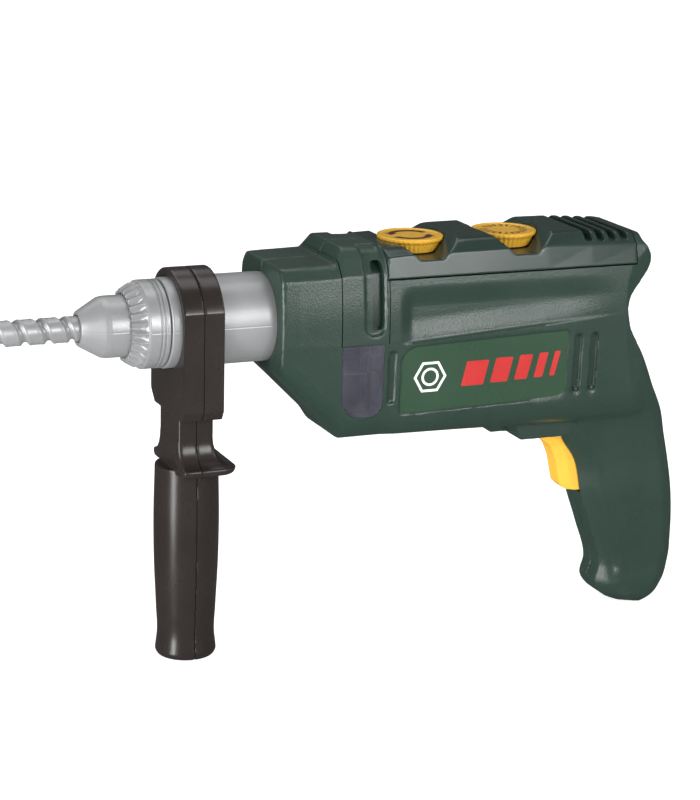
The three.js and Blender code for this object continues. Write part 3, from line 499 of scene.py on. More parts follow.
def make_smoky_clear():
    """Tinted clear plastic: a transmitting shader with a faint ripple and haze that varies."""
    material = bpy.data.materials.new("smoky clear")
    material.use_nodes = True
    tree = material.node_tree
    shader = tree.nodes["Principled BSDF"]
    skin = use(tree, GRAIN, Grain_per_metre=260.0, Patches_per_metre=70.0)
    tone = blend_colours(tree, skin.outputs["Patches"], (0.17, 0.17, 0.22), (0.26, 0.26, 0.32))
    tree.links.new(tone, shader.inputs["Base Color"])
    tree.links.new(spread(tree, skin.outputs["Patches"], 0.0, 1.0, 0.06, 0.16), shader.inputs["Roughness"])
    bump = node(tree, "ShaderNodeBump")
    bump.inputs["Distance"].default_value = 0.008 * MM
    tree.links.new(skin.outputs["Height"], bump.inputs["Height"])
    tree.links.new(bump.outputs[0], shader.inputs["Normal"])
    shader.inputs["Transmission Weight"].default_value = 0.82
    shader.inputs["IOR"].default_value = 1.46
    return material


SMOKY_CLEAR = make_smoky_clear()

# ---------- housing ----------
# x, deck y, top, corner y, corner z, shoulder y, shoulder z, crease y, bottom z
BODY = np.array([
    [0.0, 20.4, 24.4, 22.2, 22.4, 24.4, 19.5, 26.0, -21.2],
    [1.2, 21.4, 25.1, 23.2, 23.2, 25.3, 20.0, 26.9, -23.2],
    [8.0, 21.6, 25.3, 23.5, 23.4, 26.0, 20.1, 27.8, -30.0],
    [16.0, 21.7, 25.4, 23.6, 23.7, 26.4, 20.3, 28.3, -38.0],
    [26.0, 21.7, 25.6, 23.6, 24.0, 26.5, 20.5, 28.5, -48.0],
    [30.0, 18.0, 32.5, 21.2, 28.6, 26.5, 21.0, 28.5, -54.0],
    [49.0, 18.0, 32.3, 22.5, 27.9, 26.5, 21.0, 28.5, -54.0],
    [50.0, 19.8, 31.1, 25.1, 28.2, 26.7, 18.4, 28.5, -54.0],
    [58.0, 19.8, 31.3, 25.1, 28.7, 26.7, 18.4, 28.5, -54.5],
    [88.0, 19.8, 34.1, 25.1, 28.8, 26.7, 18.5, 28.5, -55.0],
    [128.0, 19.8, 34.3, 25.1, 28.8, 26.7, 18.7, 28.5, -56.0],
    [150.0, 19.8, 34.1, 24.9, 28.0, 26.7, 18.9, 28.0, -56.6],
    [173.3, 19.8, 32.4, 24.7, 27.0, 26.7, 19.0, 27.5, -57.0],
    [190.0, 19.8, 28.9, 24.5, 26.0, 26.5, 19.0, 26.5, -57.0],
])
CROWN = 0.9  # how far the upper side bulges past a straight line
CREASE_Z = -9.0
TOP_ROUND = 1.6


def body_solid(inset=0.0, top_round=TOP_ROUND):
    """Body sections at each station, drawn from the flat top down the side and mirrored. Between
    shoulder and crease the side bulges a little, on a corner with a very large radius."""
    x, deck_y, top, corner_y, corner_z, shoulder_y, shoulder_z, crease, bottom = BODY.T
    side = np.stack([
        np.column_stack([deck_y - inset, top - inset]),
        np.column_stack([corner_y - inset, corner_z - inset]),
        np.column_stack([shoulder_y - inset, shoulder_z]),
        np.column_stack([(shoulder_y + crease) / 2 + CROWN - inset, (shoulder_z + CREASE_Z) / 2]),
        np.column_stack([crease - inset, np.full_like(x, CREASE_Z)]),
        np.column_stack([crease - 2 - inset, bottom + inset * 1.1]),
    ], axis=1)
    corners = np.concatenate([side, side[:, ::-1] * (-1, 1)], axis=1)
    low = max(11.0 - inset, 3.0)
    radii = [6.0, top_round, 1.2, 110, 3, low]
    outline = rounded(corners, radii + radii[::-1], 6)
    along = np.broadcast_to(x[:, None, None], (*outline.shape[:2], 1))
    return loft("body", np.concatenate([along, outline], axis=-1))


def side_profile(inset=0.0):
    """The body's outline from the side behind the cover: a lip, then the hollow over the hand."""
    rear = REAR_X - inset
    corners = [(-10, 60), (177.5 - inset, 60), (177.5 - inset, 29), (rear, 19.5), (rear - 7, 11),
               (168.5 - inset, 1), (172 - inset, -12), (rear - 3.5, -26), (rear, -80), (-10, -80)]
    return prism(rounded(corners, [0, 0, 3, 2, 5, 14, 8, 6, 0, 0], 8), -40, 40, "y")


def plan_profile(inset=0.0):
    """The body's outline from above, with its two rear corners rounded."""
    rear = REAR_X - inset
    corners = [(-10, -40), (-10, 40), (166, 40), (166, 28 - inset), (rear, 24 - inset),
               (rear, -24 + inset), (166, -28 + inset), (166, -40)]
    return prism(rounded(corners, [0, 0, 0, 6, 7, 7, 6, 0], 8), -90, 70, "z")


# z, front, rear, half width, rear rounding
GRIP = np.array([
    [2.0, 150.0, 168.5, 25.0, 6.0],
    [-9.0, 150.0, 172.3, 26.0, 8.0],
    [-25.0, 150.0, 182.8, 25.8, 10.0],
    [-42.0, 148.0, 191.2, 24.0, 11.0],
    [-56.0, 146.0, 199.0, 19.8, 11.0],
    [-68.0, 149.0, 202.5, 17.9, 11.0],
    [-76.0, 154.5, 204.6, 17.4, 11.0],
    [-96.0, 160.0, 208.6, 17.0, 11.0],
    [-114.0, 166.4, 210.0, 16.8, 11.0],
    [-132.0, 172.0, 209.4, 16.6, 11.0],
    [-143.0, 171.0, 206.5, 16.2, 11.0],
    [-149.6, 178.0, 201.5, 13.6, 8.0],
    [FOOT_Z, 185.5, 196.0, 9.0, 4.0],
])


def grip_solid(inset=0.0):
    """Grip sections down the handle: a flat front strip, chamfers, flat sides and a round back."""
    rows = GRIP[:-1] if inset else GRIP
    z = np.sort(np.unique(np.concatenate([np.arange(rows[-1, 0], 2.0, 2.0), rows[:, 0]])))
    front, rear, half, back_round = eased(z, rows[::-1, 0], rows[::-1, 1:]).T
    rear = np.minimum(rear, 210.0)
    side = np.stack([
        np.column_stack([front + inset, (half - inset) * 0.47]),
        np.column_stack([front + 8 + inset, half - inset]),
        np.column_stack([rear - inset, half - inset]),
    ], axis=1)
    corners = np.concatenate([side, side[:, ::-1] * (1, -1)], axis=1)
    radii = np.column_stack([np.full_like(z, 1.5), np.full_like(z, 5), back_round,
                             back_round, np.full_like(z, 5), np.full_like(z, 1.5)])
    outline = rounded(corners, radii, 8)
    height = np.broadcast_to(z[:, None, None], (*outline.shape[:2], 1))
    return loft("grip", np.concatenate([outline, height], axis=-1))


def trigger_block(inset=0.0):
    """The block the trigger slides in, cut off at a slant in front."""
    corners = [(126, -45), (119 + inset, -53), (124 + inset, -64.4 + inset), (152, -64.4 + inset),
               (158, -45)]
    return prism(rounded(corners, [0, 1.5, 1.0, 0, 0], 4), -14 + inset, 14 - inset, "y")


def trigger_lug():
    """A slim keel ahead of the trigger block."""
    corners = [(124, -48), (109, -53), (112, -62), (124, -62)]
    return prism(rounded(corners, [0, 0, 2, 0], 4), -5.5, 5.5, "y")


def outer_solid():
    body = common(common(body_solid(), side_profile()), plan_profile())
    return join(body, grip_solid(), trigger_block(), trigger_lug())


INNER_BODY = 5.0  # the walls are thick enough to hold the hollow along the side
INNER_GRIP = 3.2


def inner_solid():
    body = common(common(body_solid(INNER_BODY), side_profile(INNER_BODY)), plan_profile(INNER_BODY))
    hollow = join(body, grip_solid(INNER_GRIP), trigger_block(2.2))
    return cut(hollow, block(-10, 4.0, -40, 40, -80, 60))


def outwards(corners, radii, side, inner_y, steps=6):
    """A prism along Y from inner_y out past the shell on one side, over an (x, z) outline."""
    ends = sorted((side * inner_y, side * 40.0))
    return prism(rounded(corners, radii, steps), *ends, "y")


def sunk(corners, radii, side, depth, steps=6):
    """A pocket of even depth under the body's skin, over an (x, z) outline."""
    return cut(outwards(corners, radii, side, 12.0, steps), body_solid(depth))


def pill(x, half, low, high):
    return [(x - half, high), (x + half, high), (x + half, low), (x - half, low)]


WINDOW = [(27.8, -9.8), (47.6, -9.8), (47.6, -42.6), (28.4, -43)]
WINDOW_ROUNDS = [1, 1, 6, 11]
LABEL = [(56, -12.2), (139.5, -9.6), (139.5, -41.6), (56, -43.2)]
LABEL_ROUNDS = [8, 2, 5, 2]
LABEL_DEPTH = 1.0
COLLAR_RECESS = pill(43.2, 5.0, -6.0, 40)
LABEL_NOTCH = pill(51.9, 1.9, -37.5, -13.5)
VENT = pill(44.8, 2.8, -3.6, 26.6)
GROOVE_XS = (144.6, 152.8)
GROOVE_HALF = 1.9
GROOVE_DEPTH = 1.9
DIMPLE_Z = -38.2
COVER_ROOM = (49.0, 173.6, -40, 40, 18.1, 60)
TRIGGER_SLOT = (133, 176, -8.1, 8.1, -94.9, -60)
BARREL_SEAT = 20.15  # radius of the bore that holds the barrel's rear end
# x, z, and the y that each screw's head rests at
CASE_SCREWS = [(20, -31, 15), (59, -44, 15), (118, -44, 15), (128, 4, 15), (163, -20, 15), (190, -72, 9)]
HEAD_BORE = 3.0
SHANK_BORE = 1.6
DOOR = [(167, -92), (202, -92), (203, -141), (178, -141)]
DOOR_SCREW = (175, -97)
LEDGE_CLIMB = 0.0587  # rise of the scoop's ledge for each millimetre towards the rear


def sheared(points, climb):
    """Points lifted by climb times x, so that the rows of an even skin follow the ledge."""
    return np.column_stack([points[:, 0], points[:, 1], points[:, 2] + climb * points[:, 0]])


def scoop_depth(x, z):
    """A soft hollow along the upper side, from a small crisp step at the ledge, which climbs to the
    rear, over a long slope to its deepest line, and running out softly upwards and at both ends."""
    ledge = -10.6 + LEDGE_CLIMB * (x - 56)
    ends = smooth_step(54.5, 62.0, x) * (1 - smooth_step(118.0, 174.0, x))
    upper = 1 - smooth_step(5.0, 15.5, z)
    lower = 0.3 * smooth_step(-0.3, 0.9, z - ledge) + 0.7 * smooth_step(0.0, 11.0, z - ledge)
    return 2.9 * ends * upper * lower


def fold_depth(x, z):
    """A soft fold down the side of the grip, behind its front edge, fading out at both ends."""
    line = np.interp(z, [-147, -135, -118, -91], [181.5, 178.5, 171.5, 162.0])
    off = x - line
    fade = smooth_step(-150.0, -141.0, z) * (1 - smooth_step(-104.0, -84.0, z))
    return 1.7 * fade * np.exp(-(off / 3.6) ** 2)


def sculpted(obj):
    """Moves the skin inwards by the scoop and the fold, then relaxes where body meets grip."""
    points = mesh_points(obj.data)
    x, y, z = points.T
    flank = smooth_step(9.0, 15.0, np.abs(y))
    depth = (scoop_depth(x, z) + fold_depth(x, z)) * flank
    set_points(obj.data, np.column_stack([x, y - np.sign(y) * depth, z]))
    under = smooth_step(118.0, 132.0, x) * (1 - smooth_step(182.0, 196.0, x))
    under = under * smooth_step(-70.0, -62.0, z) * (1 - smooth_step(-46.0, -36.0, z))
    side_only = smooth_step(14.4, 17.5, np.abs(y))
    return relaxed(obj, under * side_only, 160 if FINE == 1.0 else 50)


def shell_half(outer, side):
    """One half of the housing: soft-edged pockets first, then the even skin, then the scoop and the fold;
    crisp_cuts() makes the crisp cuts afterwards.
    """
    half = copied(outer)
    common(half, block(-20, 230, SEAM / 2, 60, -200, 80) if side > 0
           else block(-20, 230, -60, -SEAM / 2, -200, 80))
    cut(half,
        sunk(COLLAR_RECESS, [0, 0, 4.6, 4.6], side, 1.4),
        sunk(LABEL, LABEL_ROUNDS, side, LABEL_DEPTH),
        sunk(LABEL_NOTCH, [1.2] * 4, side, 1.3))
    for x in GROOVE_XS:
        cut(half, sunk(pill(x, GROOVE_HALF, -40.0, -12.0), [GROOVE_HALF] * 4, side, GROOVE_DEPTH))
    set_points(half.data, sheared(mesh_points(half.data), -LEDGE_CLIMB))
    softened(half, 0.6, 3)
    set_points(half.data, sheared(mesh_points(half.data), LEDGE_CLIMB))
    sculpted(half)
    return half


def seam_ring(x, width, depth):
    """A thin groove round the upper body, down to the window."""
    ring = block(x, x + width, -40, 40, -9.8, 60)
    return cut(ring, body_solid(depth))


def crisp_cuts(half, side):
    """The room inside, then the openings for cover, barrel, window, vent and trigger, and two seams."""
    cut(half, inner_solid())
    cut(half,
        block(*COVER_ROOM),
        rod(BARREL_SEAT, -5, 8, "x", sides=96),
        outwards([(x + math.copysign(0.15, x - 38), z + math.copysign(0.15, z + 26)) for x, z in WINDOW],
                 WINDOW_ROUNDS, side, 16.0),
        sunk(VENT, [2.2, 2.2, 2.6, 2.6], side, 4.4),
        seam_ring(27.0, 0.5, 0.9),
        seam_ring(49.6, 0.45, 0.9),
        block(*TRIGGER_SLOT))
    return half


def dimple(x, z, side):
    """A small dome at the lower end of a groove."""
    profile = rounded_profile([(0.01, 0.0), (0.85, 0.0), (0.85, 0.9), (0.01, 1.15)], [0, 0.05, 0.5, 0])
    dome = turned(profile, "y", 20)
    points = mesh_points(dome.data) * (1, side, 1) + (x, side * 25.9, z)
    set_points(dome.data, points)
    if side < 0:
        dome.data.flip_normals()
    return dome


def make_housing():
    outer = outer_solid()
    left = crisp_cuts(shell_half(outer, -1), -1)
    join(left, *[dimple(x, DIMPLE_Z, -1) for x in GROOVE_XS])
    seat(left, "housing_left_skin", "housing", HOUSING_GREEN, ["housing_left"])

    right = shell_half(outer, 1)
    door = common(copied(right), outwards(DOOR, [3] * 4, 1, 8.0))
    cut(door, inner_solid())
    crisp_cuts(right, 1)
    cut(right, outwards([(x + math.copysign(0.25, x - 188), z + math.copysign(0.25, z + 116))
                         for x, z in DOOR], [3] * 4, 1, 8.0))
    join(right, *[dimple(x, DIMPLE_Z, 1) for x in GROOVE_XS])
    for x, z, head in CASE_SCREWS:
        join(right, rod(3.9, 1.0, 26.2 if head > 10 else 15.5, "y", (x, z), 20))
        cut(right, rod(HEAD_BORE, head - 0.3, 60, "y", (x, z), 32),
            rod(SHANK_BORE, -1, 60, "y", (x, z), 16))
    for row in (-1, 0, 1):
        cut(right, *[rod(1.15, 15, 40, "y", (92 + k * 4.5, -33 + row * 5), 20) for k in range(-2, 3)])
    seat(right, "housing_right_skin", "housing", HOUSING_GREEN, ["housing_right"])

    cut(door, rod(HEAD_BORE, 15.8, 40, "y", DOOR_SCREW, 32), rod(SHANK_BORE, 5, 40, "y", DOOR_SCREW, 16))
    seat(door, "battery_cover_skin", "battery_cover", HOUSING_GREEN, ["battery_cover"])
    make_windows(outer)
    bpy.data.objects.remove(outer)


def make_windows(outer):
    """Curved panes in the lamp openings, with a frame of ribs on the inside."""
    for name, side in (("light_window_left", -1), ("light_window_right", 1)):
        pane = common(outwards(WINDOW, WINDOW_ROUNDS, side, 14.0), outer, keep=True)
        cut(pane, body_solid(1.6))
        low, high = sorted((side * 22.4, side * 26.6))
        ribs = [block(29.6, 46.0, low, high, z - 0.6, z + 0.6) for z in (-15.2, -22.6)]
        ribs.append(block(40.2, 42.0, low, high, -39.0, -13.0))
        for rib in ribs:
            join(pane, rib)
        seat(pane, name + "_pane", "housing", SMOKY_CLEAR, [name], sharp=30)


def skin_patch(outline, side, outer_inset, inner_inset):
    """A thin sheet that follows the body's skin, over an (x, z) outline."""
    ends = sorted((side * 12.0, side * 40.0))
    sheet = common(prism(outline, *ends, "y"), body_solid(outer_inset))
    return cut(sheet, body_solid(inner_inset))


# ---------- label ----------
SHEET = 0.36
BADGE_AT = (70.6, -26.6)
BADGE_RADIUS = 8.0
BARS_FROM, BARS_TO = 86.0, 133.0
BARS_LOW, BARS_HIGH = -32.2, -20.8
BARS_CLIMB = 0.034  # the bars rise along the label, as its edges do


def ring_of(sides, radius, turn=0.0):
    angle = turn + np.linspace(0, 2 * math.pi, sides, endpoint=False)
    return np.column_stack([radius * np.cos(angle), radius * np.sin(angle)]) + BADGE_AT


def slanted_bars():
    """Five slanted bars, each narrower than the last, that fill one line of the label."""
    widths = np.array([11.0, 8.6, 6.4, 4.4, 2.8])
    space = (BARS_TO - BARS_FROM - widths.sum()) / (len(widths) - 1)
    starts = BARS_FROM + np.concatenate([[0], np.cumsum(widths[:-1] + space)])
    lean = 2.6
    for start, width in zip(starts, widths):
        rise = (start - BARS_FROM) * BARS_CLIMB
        low, high = BARS_LOW + rise, BARS_HIGH + rise
        corners = [(start, low), (start + width, low), (start + width + lean, high), (start + lean, high)]
        yield rounded(corners, 0.5, 3)


def make_label():
    inset = 0.35
    inner = [(x + math.copysign(inset, 100 - x), z + math.copysign(inset, -27 - z)) for x, z in LABEL]
    sheet = skin_patch(rounded(inner, LABEL_ROUNDS, 8), -1, LABEL_DEPTH - SHEET, LABEL_DEPTH + 0.3)
    seat(sheet, "label_sheet", "housing", LABEL_GREEN)
    ink = (LABEL_DEPTH - SHEET - 0.06, LABEL_DEPTH - SHEET + 0.05)
    badge = skin_patch(ring_of(6, BADGE_RADIUS), -1, *ink)
    cut(badge, prism(ring_of(6, BADGE_RADIUS - 1.3), -40, 0, "y"))
    nut = skin_patch(ring_of(48, 4.2), -1, *ink)
    cut(nut, prism(ring_of(48, 3.1), -40, 0, "y"))
    join(badge, nut)
    seat(badge, "label_badge", "housing", PRINT_WHITE)
    bars = [skin_patch(outline, -1, *ink) for outline in slanted_bars()]
    seat(join(bars[0], *bars[1:]), "label_bars", "housing", PRINT_RED)


# ---------- cover ----------
COVER_LOW, COVER_HIGH = box_mm("top_cover")
DIALS = {name: (box_mm(name)[0] + box_mm(name)[1]) / 2 for name in ("direction_dial", "mode_dial")}
DIAL_RADIUS = (box_mm("mode_dial")[1] - box_mm("mode_dial")[0])[0] / 2
DIAL_TOP = box_mm("mode_dial")[1][2]
DIAL_FLOOR = 26.0
DIAL_RIBS = 40
NOTCH_HALF, NOTCH_FLOOR_HALF, NOTCH_TOP = 17, 5.4, 36  # the cut across the cover under each dial
RIDGE_START, RIDGE_PITCH, RIDGE_COUNT = 149.6, 6.2, 4
RIDGE_HALF, RIDGE_FLOOR = 1.9, 28.6
COVER_WALL = 2.2


def make_cover():
    """The body's top between the cover's ends, notched for the dials and grooved behind them."""
    cover = common(body_solid(0.0, 1.0), block(COVER_LOW[0], COVER_HIGH[0], -40, 40, COVER_LOW[2], 60))
    for middle in DIALS.values():
        x = middle[0]
        corners = [(x - NOTCH_HALF, NOTCH_TOP), (x - NOTCH_FLOOR_HALF, DIAL_FLOOR),
                   (x + NOTCH_FLOOR_HALF, DIAL_FLOOR), (x + NOTCH_HALF, NOTCH_TOP)]
        cut(cover, prism(rounded(corners, [0, 2.0, 2.0, 0]), -40, 40, "y"),
            rod(DIAL_RADIUS - 0.5, DIAL_FLOOR, 40, "z", (x, 0), 96),
            rod(DIAL_RADIUS + 0.35, DIAL_TOP - 1.8, 40, "z", (x, 0), 96))
    for k in range(RIDGE_COUNT):
        x = RIDGE_START + k * RIDGE_PITCH
        corners = [(x - RIDGE_HALF, 40), (x - RIDGE_HALF, RIDGE_FLOOR), (x + RIDGE_HALF, RIDGE_FLOOR),
                   (x + RIDGE_HALF, 40)]
        cut(cover, prism(rounded(corners, [0, 1.85, 1.85, 0]), -23, 23, "y"))
    softened(cover, 0.45, 2)
    cut(cover, block(COVER_LOW[0] + COVER_WALL, COVER_HIGH[0] - COVER_WALL, -24, 24, 10,
                     DIAL_FLOOR - COVER_WALL))
    for middle in DIALS.values():
        cut(cover, rod(3.6, 0, 40, "z", middle[:2], 32))
    seat(cover, "top_cover_skin", "housing", COVER_GREEN, ["top_cover"])


# ---------- dials ----------
def dial_relief(angle, height, radius):
    """Soft ribs round the skirt, fainter on the rim: a cosine of the angle times their number."""
    ribs = 0.5 + 0.5 * np.cos(DIAL_RIBS * angle)
    skirt = (1 - smooth_step(31.0, 31.6, height)) * smooth_step(DIAL_FLOOR + 0.3, DIAL_FLOOR + 1.0, height)
    return -ribs * (0.45 * skirt + 0.18 * (1 - skirt)) * smooth_step(12.0, 13.2, radius)


def make_dial(name):
    x = DIALS[name][0]
    r, top, foot = DIAL_RADIUS, DIAL_TOP, DIAL_FLOOR + 0.35
    outline = [(0.01, foot), (r - 2.6, foot), (r - 1.3, top - 2.6), (r - 0.1, top - 1.5), (r, top),
               (r - 1.5, top), (r - 1.9, top - 0.3), (0.01, top - 0.3)]
    profile = dense(rounded_profile(outline, [0, 0.5, 1.2, 0.3, 0.35, 0.3, 0.2, 0]), 0.5)
    dial = turned(profile, "z", 320, dial_relief, (x, 0))
    join(dial, rod(3.2, 21.6, foot + 0.4, "z", (x, 0), 32))
    cut(dial, rod(1.6, 0, 29, "z", (x, 0), 24))
    seat(dial, name + "_skin", name, DIAL_YELLOW, [name], sharp=50)


INK_LOW, INK_HIGH = DIAL_TOP - 0.34, DIAL_TOP - 0.24


def flat_print(outline, x):
    return prism(np.asarray(outline) + (x, 0), INK_LOW, INK_HIGH, "z")


def turned_arrow(start, sweep, x):
    """An arc with an arrow head at its far end, about the dial's middle."""
    inner, outer, head = 7.4, 10.2, math.radians(26)
    shaft = np.linspace(start, start + sweep - head, 28)
    tip = start + sweep
    last = shaft[-1]
    arc = [(r * math.cos(a), r * math.sin(a)) for r, a in
           ((outer + 1.4, last), (0.5 * (inner + outer), tip), (inner - 1.4, last))]
    outside = outer * np.column_stack([np.cos(shaft), np.sin(shaft)])
    inside = inner * np.column_stack([np.cos(shaft[::-1]), np.sin(shaft[::-1])])
    return flat_print(np.concatenate([outside, arc, inside]), x)


def make_direction_print():
    x = DIALS["direction_dial"][0]
    arrows = join(turned_arrow(math.radians(20), math.radians(150), x),
                  turned_arrow(math.radians(200), math.radians(150), x))
    seat(arrows, "direction_dial_print", "direction_dial", PRINT_BROWN)


def digit(character, angle, radius, size):
    """One numeral as a thin mesh, standing on a circle with its head outwards."""
    curve = bpy.data.curves.new("digit", "FONT")
    curve.body = character
    curve.size = size
    curve.align_x = "CENTER"
    curve.align_y = "CENTER"
    text = bpy.data.objects.new("digit", curve)
    bpy.context.scene.collection.objects.link(text)
    solidify = text.modifiers.new("thickness", "SOLIDIFY")
    solidify.thickness = INK_HIGH - INK_LOW
    graph = bpy.context.evaluated_depsgraph_get()
    mesh = bpy.data.meshes.new_from_object(text.evaluated_get(graph))
    mesh.transform(Matrix.Rotation(angle - math.pi / 2, 4, "Z") @ Matrix.Translation((0, radius, 0)))
    bpy.data.objects.remove(text)
    return mesh


def make_mode_print():
    """Numerals round the dial with a tick between each pair."""
    x = DIALS["mode_dial"][0]
    count = 10
    meshes = [digit(str(k), 2 * math.pi * k / count, 8.9, 5.0) for k in range(count)]
    points, faces, start = [], [], 0
    for mesh in meshes:
        here = mesh_points(mesh)
        points.append(here + (x, 0, INK_HIGH - here[:, 2].max()))
        faces += [[i + start for i in polygon.vertices] for polygon in mesh.polygons]
        start += len(here)
        bpy.data.meshes.remove(mesh)
    numerals = new_piece("numerals", np.concatenate(points), faces)
    seat(numerals, "mode_dial_numerals", "mode_dial", PRINT_BROWN)
    ticks = []
    for k in range(count):
        turn = 2 * math.pi * (k + 0.5) / count
        along = np.array([math.cos(turn), math.sin(turn)])
        across = np.array([-along[1], along[0]]) * 0.5
        ticks.append(flat_print([7.4 * along - across, 10.9 * along - across, 10.9 * along + across,
                                 7.4 * along + across], x))
    seat(join(ticks[0], *ticks[1:]), "mode_dial_ticks", "mode_dial", PRINT_BROWN)


# ---------- barrel, chuck and bit ----------
BARREL_FRONT, BARREL_REAR = box_mm("barrel_tube")[0][0], 6.0
BARREL_RADIUS = 19.85
BARREL_WALL = 2.4
BARREL_BORE = 5.9  # for the spindle, in a face 3 mm thick
RING_LOW, RING_HIGH = box_mm("chuck_ring")
RING_RADIUS = RING_HIGH[2]
SLEEVE_FRONT, SLEEVE_REAR = box_mm("chuck_sleeve")[0][0], -60.4
SLEEVE_RADIUS = 13.5
NECK_RADIUS, NECK_REAR = 8, -50  # the sleeve's neck inside the ring
SPINDLE_BORE, SOCKET_END = 3.1, -70
BIT_LOW, BIT_HIGH = box_mm("drill_bit")
BIT_RADIUS = BIT_HIGH[2]
BIT_PITCH = 10.4
TEETH = 26


def seam_relief(angle, height, radius):
    """A fine mould line along both sides: a narrow ridge and a dip beside it."""
    off = (np.mod(angle + math.pi / 2, math.pi) - math.pi / 2) * radius
    return 0.05 * np.exp(-((off - 0.3) / 0.22) ** 2) - 0.09 * np.exp(-((off + 0.15) / 0.25) ** 2)


def make_barrel():
    front, rear, r, inner = BARREL_FRONT, BARREL_REAR, BARREL_RADIUS, BARREL_RADIUS - BARREL_WALL
    outline = [(BARREL_BORE, front), (r, front), (r, rear), (inner, rear), (inner, front + 3),
               (BARREL_BORE, front + 3)]
    profile = rounded(outline, [0.1, 0.9, 0.2, 0.2, 0.4, 0.1], 4)
    barrel = turned(profile, "x", 640, seam_relief, closed=True)
    seat(barrel, "barrel_tube_skin", "housing", SILVER, ["barrel_tube"])


def make_sleeve():
    front, r, socket = SLEEVE_FRONT, SLEEVE_RADIUS, BIT_RADIUS + 0.35
    outline = [(socket, front), (7.6, front), (13.1, front + 9.6), (r, front + 12), (r, SLEEVE_REAR),
               (NECK_RADIUS, SLEEVE_REAR), (NECK_RADIUS, NECK_REAR), (SPINDLE_BORE, NECK_REAR),
               (SPINDLE_BORE, SOCKET_END), (socket, SOCKET_END)]
    profile = dense(rounded(outline, [0.3, 0.7, 2.5, 2.0, 0.2, 0.1, 0.1, 0.1, 0.1, 0.1], 5), 4.0)
    sleeve = turned(profile, "x", 480, seam_relief, closed=True)
    seat(sleeve, "chuck_sleeve_skin", "spindle", SILVER, ["chuck_sleeve"])


def crown_relief(angle, height, radius):
    """Key teeth: valleys between them, deepest at the front edge and gone at the ring's shoulder."""
    valley = (0.5 - 0.5 * np.cos(TEETH * angle)) ** 0.75
    reach = (1 - smooth_step(-60.0, -57.2, height)) * smooth_step(14.6, 15.6, radius)
    return -2.3 * valley * reach + seam_relief(angle, height, radius) * smooth_step(-57.0, -56.4, height)


def make_ring():
    front, rear, r = RING_LOW[0], RING_HIGH[0], RING_RADIUS
    outline = [(8.3, rear), (8.3, -60.1), (14.1, -60.1), (14.1, front), (15.9, front), (18.5, -59.4),
               (18.5, -57.5), (r, -57.1), (r, -52.2), (r - 0.5, -51.9), (r - 0.5, -51.5), (r, -51.2),
               (r, -50.5), (r - 0.5, -50.2), (r - 0.5, -49.8), (r, -49.5), (r, rear)]
    radii = [0.1, 0.1, 0.1, 0.4, 0.5, 0.8, 0.3, 0.5, 0.3, 0.15, 0.15, 0.3, 0.3, 0.15, 0.15, 0.3, 0.5]
    profile = dense(rounded(outline, radii, 3), 0.7)
    ring = turned(profile, "x", TEETH * 22, crown_relief, closed=True)
    seat(ring, "chuck_ring_skin", "spindle", SILVER, ["chuck_ring"], sharp=55)


def flute_relief(angle, height, radius):
    """One helical flute: its distance along the axis from the nearest turn sets a round-bottomed
    channel with a slight lip on each side. It fades in just ahead of the chuck and out at the tip."""
    turns = angle / (2 * math.pi) - height / BIT_PITCH
    off = np.abs(turns - np.round(turns)) * BIT_PITCH
    channel = -1.45 * (1 - smooth_step(0.5, 2.1, off))
    lip = 0.16 * np.exp(-((off - 2.5) / 0.45) ** 2)
    fade = (1 - smooth_step(-86.5, -84.0, height)) * smooth_step(BIT_LOW[0] + 1.5, BIT_LOW[0] + 7, height)
    return (channel + lip) * fade


def make_bit():
    tip, rear, r = BIT_LOW[0], BIT_HIGH[0], BIT_RADIUS - 0.12
    outline = [(0.01, tip), (0.8, tip), (r - 0.7, tip + 5), (r, tip + 6.5), (r, rear), (0.01, rear)]
    profile = dense(rounded_profile(outline, [0, 0.3, 0.8, 1.0, 0.1, 0]), 0.45)
    bit = turned(profile, "x", 120, flute_relief)
    seat(bit, "drill_bit_skin", "spindle", SILVER, ["drill_bit"], sharp=60)


# ---------- side handle ----------
JOINTS = {joint["name"]: joint for joint in frame["record"]["behaviour"]["joints"]}
HANDLE_X = (JOINTS["side_handle_turn"]["pos_m"][0] - ORIGIN[0]) / MM
CLAMP_RADIUS = 24.0
CLAMP_HALF = 22.6
CLAMP_WIDTH = 18.6
CLAMP_BOTTOM = -40.0
NECK_HALF = 13.0
GUARD_Z = -62.0
GUARD_HALF = 22.0
HANDLE_SCREW_ZS = (-49, -98, -138)


def clamp_solid():
    """A ring over the barrel whose straight sides run down to a block with chamfered lower corners."""
    start = math.acos(CLAMP_HALF / CLAMP_RADIUS)
    angle = np.linspace(start, math.pi - start, 65)
    ring = CLAMP_RADIUS * np.column_stack([np.cos(angle), np.sin(angle)])
    foot = [(-CLAMP_HALF, CLAMP_BOTTOM + 4), (-CLAMP_HALF + 2.5, CLAMP_BOTTOM),
            (CLAMP_HALF - 5, CLAMP_BOTTOM), (CLAMP_HALF, CLAMP_BOTTOM + 5.5)]
    outline = np.concatenate([ring, foot])
    return prism(outline, HANDLE_X - CLAMP_WIDTH / 2, HANDLE_X + CLAMP_WIDTH / 2, "x")


